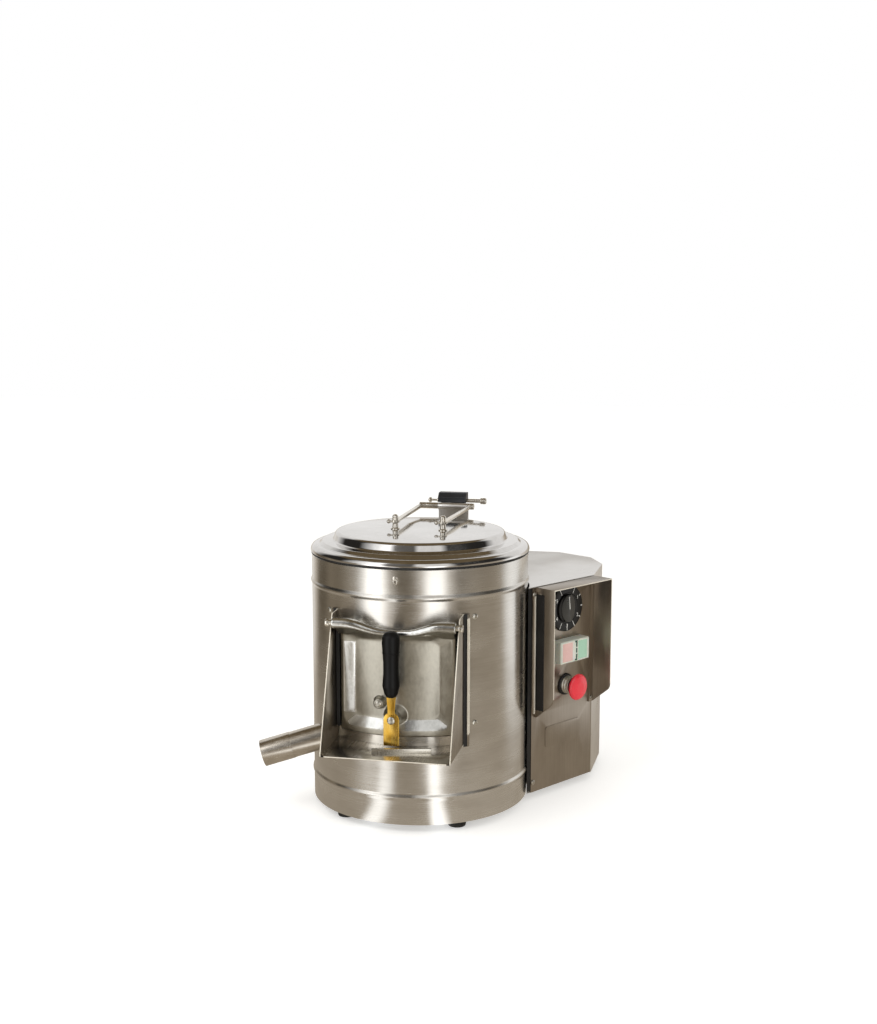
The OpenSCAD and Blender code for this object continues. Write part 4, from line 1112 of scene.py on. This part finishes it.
class PEELER_OT_housing(bpy.types.Operator):
    """Models the folded motor housing, its panel, hood, edge strips and screws"""
    bl_idname = "peeler.housing"
    bl_label = "Housing"

    def execute(self, context):
        edge = context.scene.peeler_sizes.sheet_edge / MM
        refined("housing_shell", "housing_folded", "base", housing_steel(), "satin_sheet", 0.6, 3, 25)
        refined("control_panel", "control_panel_brushed", "base", panel_painted_shade_steel(), "satin_sheet", edge)
        hood = refined("control_hood", "control_hood_folded", "base", panel_painted_shade_steel(), "satin_sheet", edge,
                       angle=40)
        # The hood wings' front edges take the light edge tint: a painted highlight.
        trim(hood, edge_highlight_steel(), lambda m, n: (
            HOUSING.inverted() @ (m * MM)).y < (PANEL_W - 35.2) * MM and abs(n.z) < 0.9)
        # A light bar along the panel's folded edge: a painted highlight.
        fold_highlight = block("panel_fold_painted_highlight", (104.4, PANEL_W - 2.2, 134), (106, PANEL_W + 0.3, 318), HOUSING)
        fit(soften(fold_highlight, 0.3, 1), "base", edge_highlight_steel(), "satin_sheet")
        # A black strip beside the hood's left wing: a painted dark reflection of the wing in the panel.
        root = block("hood_wing_painted_reflection", (107.9, PANEL_W - 16, 140), (108.7, PANEL_W - 0.5, 316), HOUSING)
        fit(soften(root, 0.2, 1), "base", black_rubber(), "black_rubber")
        refined("edge_strips", "rubber_edge_strips", "base", black_rubber(), "black_rubber", 1.2, 3)

        heads = [screw("panel_screw", on_panel(104.2, z), 3.8, 2.4) for z in (28, 316)]
        heads += [screw("hood_screw", on_panel(u, z) @ at(0, 0, SHEET), 3, 1.8) for u in (236.5, 113.5)
                  for z in (134, 315)]
        fit(smooth(joined("panel_fasteners", *heads)), "base", screw_steel(), "machined_steel",
            "panel_screws")
        refined("cable_gland", "nylon_cable_gland", "base", black_abs(), "black_plastic", 0.5)
        dress(galvanised_steel(), "housing_base")
        return {"FINISHED"}


# ---------- controls ----------

class PEELER_OT_dial(bpy.types.Operator):
    """Models the timer's scale plate with its ticks, and its knob"""
    bl_idname = "peeler.dial"
    bl_label = "Timer"

    def execute(self, context):
        place = on_panel(*DIAL_AT)
        plate = turned("timer_scale_plate", rounded([(0, 0.2), (35.5, 0.2, 0.3), (35.5, 3, 0.9), (24, 3, 0.4),
                       (23.4, 2.4, 0.4), (0, 2.4)], steps=3), place, sides=128)
        fit(smooth(plate), "base", dial_black(), "black_plastic", "timer_plate")

        marks = []
        for hour in range(12):
            turn = place @ turned_by(math.radians(-30 * hour))
            inner, outer, wide = (31, 34.6, 0.55) if hour in (0, 2, 3, 4, 8, 9, 10) else (24.5, 34.6, 0.4)
            marks.append(block("tick", (-wide, inner, 2.95), (wide, outer, 3.1), turn))
        for figure, hour in enumerate((2, 4, 6, 8, 10)):
            turn = math.radians(-30 * hour)
            marks.append(lettered("figure", str(figure + 1), 8, place @ at(
                -27.2 * math.sin(turn), 27.2 * math.cos(turn), 2.95)))
        fit(joined("timer_scale_marks", *marks), "base", white_print(), "cream_plastic")

        skirt = turned("knob_skirt", rounded([(0, 3.4), (21.5, 3.4, 0.3), (21, 5, 0.5), (0, 5.1)],
                                             steps=4), place)
        side = [(26.2 * math.cos(a) - 11, 26.2 * math.sin(a)) for a in map(math.radians, range(-48, 49, 6))]
        end = [(20.8 * math.cos(a), 20.8 * math.sin(a)) for a in map(math.radians, (80, 90, 100))]
        oval = side + end + [(-x, -y) for x, y in side + end]
        grip = extruded("knob_grip", oval, 4, place @ at(0, 0, 4.8))
        cut(grip, extruded("knob_roof", [(-16, -1), (16, -1), (16, 0.6), (0, 3.6), (-16, 0.6)], 50,
                           place @ at(0, 25, 4.9) @ STAND_OUT), "INTERSECT")
        soften(grip, 0.5, 3, 12)
        fit(smooth(skirt), "timer", dial_black(), "black_plastic")
        fit(smooth(grip), "timer", knob_grey(), "black_plastic", "timer_knob")
        pointer = block("timer_pointer_line", (-0.75, -1, 8.1), (0.75, 18.6, 8.6),
                        place @ turned_by(math.radians(4)))
        fit(soften(pointer, 0.12, 1), "timer", white_print(), "cream_plastic")
        return {"FINISHED"}


class PEELER_OT_switches(bpy.types.Operator):
    """Models the start and stop buttons under their splash cover, and the stop mushroom"""
    bl_idname = "peeler.switches"
    bl_label = "Switches"

    def execute(self, context):
        place = on_panel(*SWITCH_AT)
        for name, body, x, material, slot in (
                ("start_button", "start", 15.5, button_green(), "start_green"),
                ("stop_button", "stop", -15.5, button_pink(), "stop_red")):
            cap = block(name, (x - 13.3, -13.3, 6), (x + 13.3, 13.3, 16.2), place)
            soften(cap, 1.4, 3)
            stem = block("stem", (x - 4, -4, -4), (x + 4, 4, 7), place)
            fit(smooth(joined(name + "_cap", stem, cap)), body, material, slot, name)
        stroke = soften(block("start_mark", (18.6, -4, 16.1), (19.8, 4, 16.4), place), 0.1, 1)
        fit(stroke, "start", white_print(), "cream_plastic")
        ring = turned("stop_mark", [(3.2, 16.1), (4.3, 16.1), (4.3, 16.4), (3.2, 16.4)], place @ at(
            -17.5, 0, 0), sides=48, closed=True)
        fit(ring, "stop", white_print(), "cream_plastic")

        boot = block("splash_boot", (-33, -17, 0), (33, 17, 18), place)
        with editing(boot, "FACE"):
            choose(boot, "FACE", lambda m, n: (place.inverted() @ (m * MM)).z < 0.1 * MM)
            bpy.ops.mesh.delete(type="FACE")
        soften(boot, 2.4, 4)
        modify(boot, "SOLIDIFY", thickness=1.1 * MM, offset=-1)
        fit(smooth(boot), "base", frosted_silicone(), "clear_cover", "switch_cover")
        for name, low, high, material in (("stop_window", -29, -6, window_pink()),
                                          ("start_window", 6.4, 27, window_green())):
            window = block(name, (low, -14.2, 17.4), (high, 14.2, 18.1), place)
            fit(smooth(soften(window, 0.35)), "base", material, "clear_cover")
        slit = [block("slit", (1.4, y - 3.6, 17.5), (4.6, y + 3.6, 18.1), place) for y in (-9, 0, 9)]
        slit += [block("hook", (-1, y - 1.2, 17.5), (4.6, y + 1.2, 18.1), place) for y in (-14, 14)]
        fit(joined("window_shade", *slit), "base", shade_green(), "clear_cover")
        refined("switch_block", "switch_frame", "base", black_abs(), "black_plastic", 0.4)

        place = on_panel(*STOP_AT)
        collar = turned("stop_collar", rounded([(9.1, -12), (11, -12), (11, 2), (13.5, 2), (13.5, 4.8, 0.3),
                        (12.9, 5.3, 0.2), (13.5, 5.8, 0.3), (13.5, 9.4, 0.3), (12.9, 9.9, 0.2), (13.5, 10.4,
                        0.3), (13.5, 15, 0.8), (9.1, 15, 0.4)], steps=3), place, sides=72, closed=True)
        fit(smooth(collar), "base", chrome(), "polished_rod", "estop_collar")
        base = turned("stop_base_ring", rounded([(13.2, 0.05), (16.4, 0.05, 0.2), (16.4, 2, 0.8),
                      (13.2, 2, 0.3)], steps=3), place, sides=72, closed=True)
        fit(smooth(base), "base", black_rubber(), "black_rubber")
        head = turned("stop_mushroom", rounded([(0, 20.2), (12, 20.2, 1), (18.5, 22.2, 1), (20, 23.8, 1.2),
                      (19.8, 26, 2), (17.2, 28.4, 5), (8, 30.1, 14), (0, 30.4)]), place)
        fit(smooth(head, 50), "estop_cap", red_abs(), "estop_red", "estop_head")
        dress(black_abs(), "estop_plunger")
        return {"FINISHED"}


class PEELER_OT_works(bpy.types.Operator):
    """Finishes the disc, drive and electrical pieces inside"""
    bl_idname = "peeler.works"
    bl_label = "Inner works"

    def execute(self, context):
        dress(disc_aluminium(), "peeling_disc")
        dress(bonded_grit(), "abrasive_top")
        dress(machined_steel(), "disc_nut", "drive_shaft", "motor_shaft", "ball_bearings")
        dress(black_rubber(), "shaft_seal", "drive_belt")
        dress(pulley_iron(), "drum_pulley", "motor_pulley", "bearing_housing")
        dress(motor_enamel(), "motor_body")
        dress(black_abs(), "fan_cover", "motor_fan", "contactor")
        dress(galvanised_steel(), "motor_plate")
        dress(drawn_can(), "run_capacitor")
        dress(cream_abs(), "timer_body")
        return {"FINISHED"}


# ---------- stage ----------

class PEELER_OT_stage(bpy.types.Operator):
    """Sets up the floor, the dim walls that metal reflects, the lamps, the world and the camera"""
    bl_idname = "peeler.stage"
    bl_label = "Stage"

    def execute(self, context):
        self.floor(context)
        self.walls(context)
        self.lamps(context)
        self.world(context)
        self.camera(context)
        context.scene.view_settings.view_transform = "Standard"
        return {"FINISHED"}

    def floor(self, context):
        """Pale paper just under the feet, which keeps the peeler's shadow."""
        floor = start("plane", "floor", size=16, location=(0, 0, -0.0003))
        material = bpy.data.materials.new("white_floor_paper")
        tree = cleared(material)
        fibres = pattern(tree, (3, 3, 3))
        colour = add_node(tree, "ShaderNodeValToRGB", {"Fac": fibres}, ramp=[(0.3, tint("#f2f2f0")),
                                                                       (0.7, tint("#f5f5f4"))])
        paper = add_node(tree, "ShaderNodeBsdfPrincipled", {"Base Color": colour, "Roughness": 0.9,
                         "Emission Color": context.scene.peeler_colours.background,
                         "Emission Strength": FLOOR_GLOW})
        add_node(tree, "ShaderNodeOutputMaterial", {"Surface": paper})
        floor.data.materials.append(material)

    def walls(self, context):
        """A wide bowl that only reflections see: soft upright bands low down, which the drum shows, and
        hard dark and white ones above them in front, which the polished lid shows. Near the drum, on
        the table, the bands are faint."""
        bowl = turned("dim_surround", BOWL)
        material = bpy.data.materials.new("glowing_surround_painted_reflections")
        tree = cleared(material)
        coords = add_node(tree, "ShaderNodeTexCoord")
        placed = add_node(tree, "ShaderNodeMapping", {"Vector": coords.outputs["Object"], "Location": AXIS,
                          "Rotation": (0, 0, math.radians(-90))}, vector_type="TEXTURE")
        around = add_node(tree, "ShaderNodeTexGradient", {"Vector": placed}, gradient_type="RADIAL")
        dim = context.scene.peeler_colours.surround
        near, low, high = (add_node(tree, "ShaderNodeValToRGB", {"Fac": around}, ramp=ramp) for ramp in (
            self.bands(NEAR_BANDS, dim), self.bands(LOW_BANDS, dim), self.bands(HIGH_BANDS, dim, 0.3)))
        upright = add_node(tree, "ShaderNodeSeparateXYZ", {"Vector": coords.outputs["Object"]})
        mixed = near
        for above, (bottom, top) in ((low, NEAR_FADE), (high, HIGH_FADE), (tint("#4a4030"), ROOF_FADE)):
            rise = add_node(tree, "ShaderNodeMapRange", {"Value": upright.outputs["Z"], "From Min": bottom,
                            "From Max": top})
            mixed = add_node(tree, "ShaderNodeMixRGB", {"Fac": rise, "Color1": mixed, "Color2": above})
        # The bowl glows: its bands are painted reflections, the white ones standing in for lamps and the dim
        # ones for walls.
        glow = add_node(tree, "ShaderNodeEmission", {"Color": mixed, "Strength": SURROUND_GLOW})
        add_node(tree, "ShaderNodeOutputMaterial", {"Surface": glow})
        bowl.data.materials.append(material)
        bowl.visible_camera = bowl.visible_diffuse = bowl.visible_shadow = False
        bowl.visible_transmission = bowl.visible_volume_scatter = False

    def bands(self, levels, dim, warmth=1.0):
        """Turns pairs of direction and brightness into ramp stops, the dimmer the warmer."""
        stops = []
        for turn, level in levels:
            warm = warmth * max(0.0, 1 - 2 * level)
            stops.append((0.5 + turn / 360, [level * (1 - warm + warm * c / dim[0]) for c in dim[:3]] + [1]))
        return stops

    def lamps(self, context):
        """Two large soft lamps in front, pointed at the middle of the peeler."""
        for name, place, size, power in LAMPS:
            data = bpy.data.lights.new(name, "AREA")
            data.size, data.energy = size, power
            lamp = bpy.data.objects.new(name, data)
            lamp.location = place
            lamp.rotation_euler = (Vector((0, 0, 0.2)) - Vector(place)).to_track_quat("-Z", "Y").to_euler()
            context.scene.collection.objects.link(lamp)

    def world(self, context):
        """Plain light, and the background's own colour to the camera, in gloss and through glass."""
        world = bpy.data.worlds.new("white_studio")
        tree = cleared(world)
        ray = add_node(tree, "ShaderNodeLightPath")
        seen = add_node(tree, "ShaderNodeMath", {0: ray.outputs["Is Camera Ray"], 1: ray.outputs[
            "Is Glossy Ray"]}, operation="MAXIMUM")
        seen = add_node(tree, "ShaderNodeMath", {0: seen, 1: ray.outputs["Is Transmission Ray"]},
                        operation="MAXIMUM")
        light = add_node(tree, "ShaderNodeBackground", {"Color": tint("#f4f2ee"), "Strength": WORLD_STRENGTH})
        shown = add_node(tree, "ShaderNodeBackground", {"Color": context.scene.peeler_colours.background,
                         "Strength": 1.0})
        mixed = add_node(tree, "ShaderNodeMixShader", {"Fac": seen, 1: light, 2: shown})
        add_node(tree, "ShaderNodeOutputWorld", {"Surface": mixed})
        context.scene.world = world

    def camera(self, context):
        """A camera before the door and above the lid, which sees the control panel at a slant."""
        data = bpy.data.cameras.new("camera")
        data.lens, data.sensor_width = CAMERA_LENS, 36
        camera = bpy.data.objects.new("camera", data)
        camera.location = CAMERA_AT
        camera.rotation_euler = Vector(CAMERA_LOOKS).to_track_quat("-Z", "Y").to_euler()
        context.scene.collection.objects.link(camera)
        context.scene.camera = camera


class PEELER_PT_sidebar(bpy.types.Panel):
    """Lists the sizes, the colours and every piece's operator"""
    bl_label = "Electric Potato Peeler"
    bl_idname = "PEELER_PT_sidebar"
    bl_space_type = "VIEW_3D"
    bl_region_type = "UI"
    bl_category = "Peeler"

    def draw(self, context):
        for group in (context.scene.peeler_sizes, context.scene.peeler_colours):
            for name in group.__annotations__:
                self.layout.prop(group, name)
        for operator in OPERATORS:
            self.layout.operator(operator.bl_idname)


OPERATORS = (PEELER_OT_drum, PEELER_OT_drain, PEELER_OT_feet, PEELER_OT_chute, PEELER_OT_door,
             PEELER_OT_latch, PEELER_OT_lid, PEELER_OT_bail, PEELER_OT_housing, PEELER_OT_dial,
             PEELER_OT_switches, PEELER_OT_works, PEELER_OT_stage)
CLASSES = (PeelerSizes, PeelerColours, *OPERATORS, PEELER_PT_sidebar)


def register():
    for cls in CLASSES:
        bpy.utils.register_class(cls)
    bpy.types.Scene.peeler_sizes = bpy.props.PointerProperty(type=PeelerSizes)
    bpy.types.Scene.peeler_colours = bpy.props.PointerProperty(type=PeelerColours)


def unregister():
    del bpy.types.Scene.peeler_sizes
    del bpy.types.Scene.peeler_colours
    for cls in reversed(CLASSES):
        bpy.utils.unregister_class(cls)


def main():
    """Registers the add-on's classes and builds every piece in order."""
    register()
    for operator in OPERATORS:
        group, name = operator.bl_idname.split(".")
        getattr(getattr(bpy.ops, group), name)()


if __name__ == "__main__":
    main()
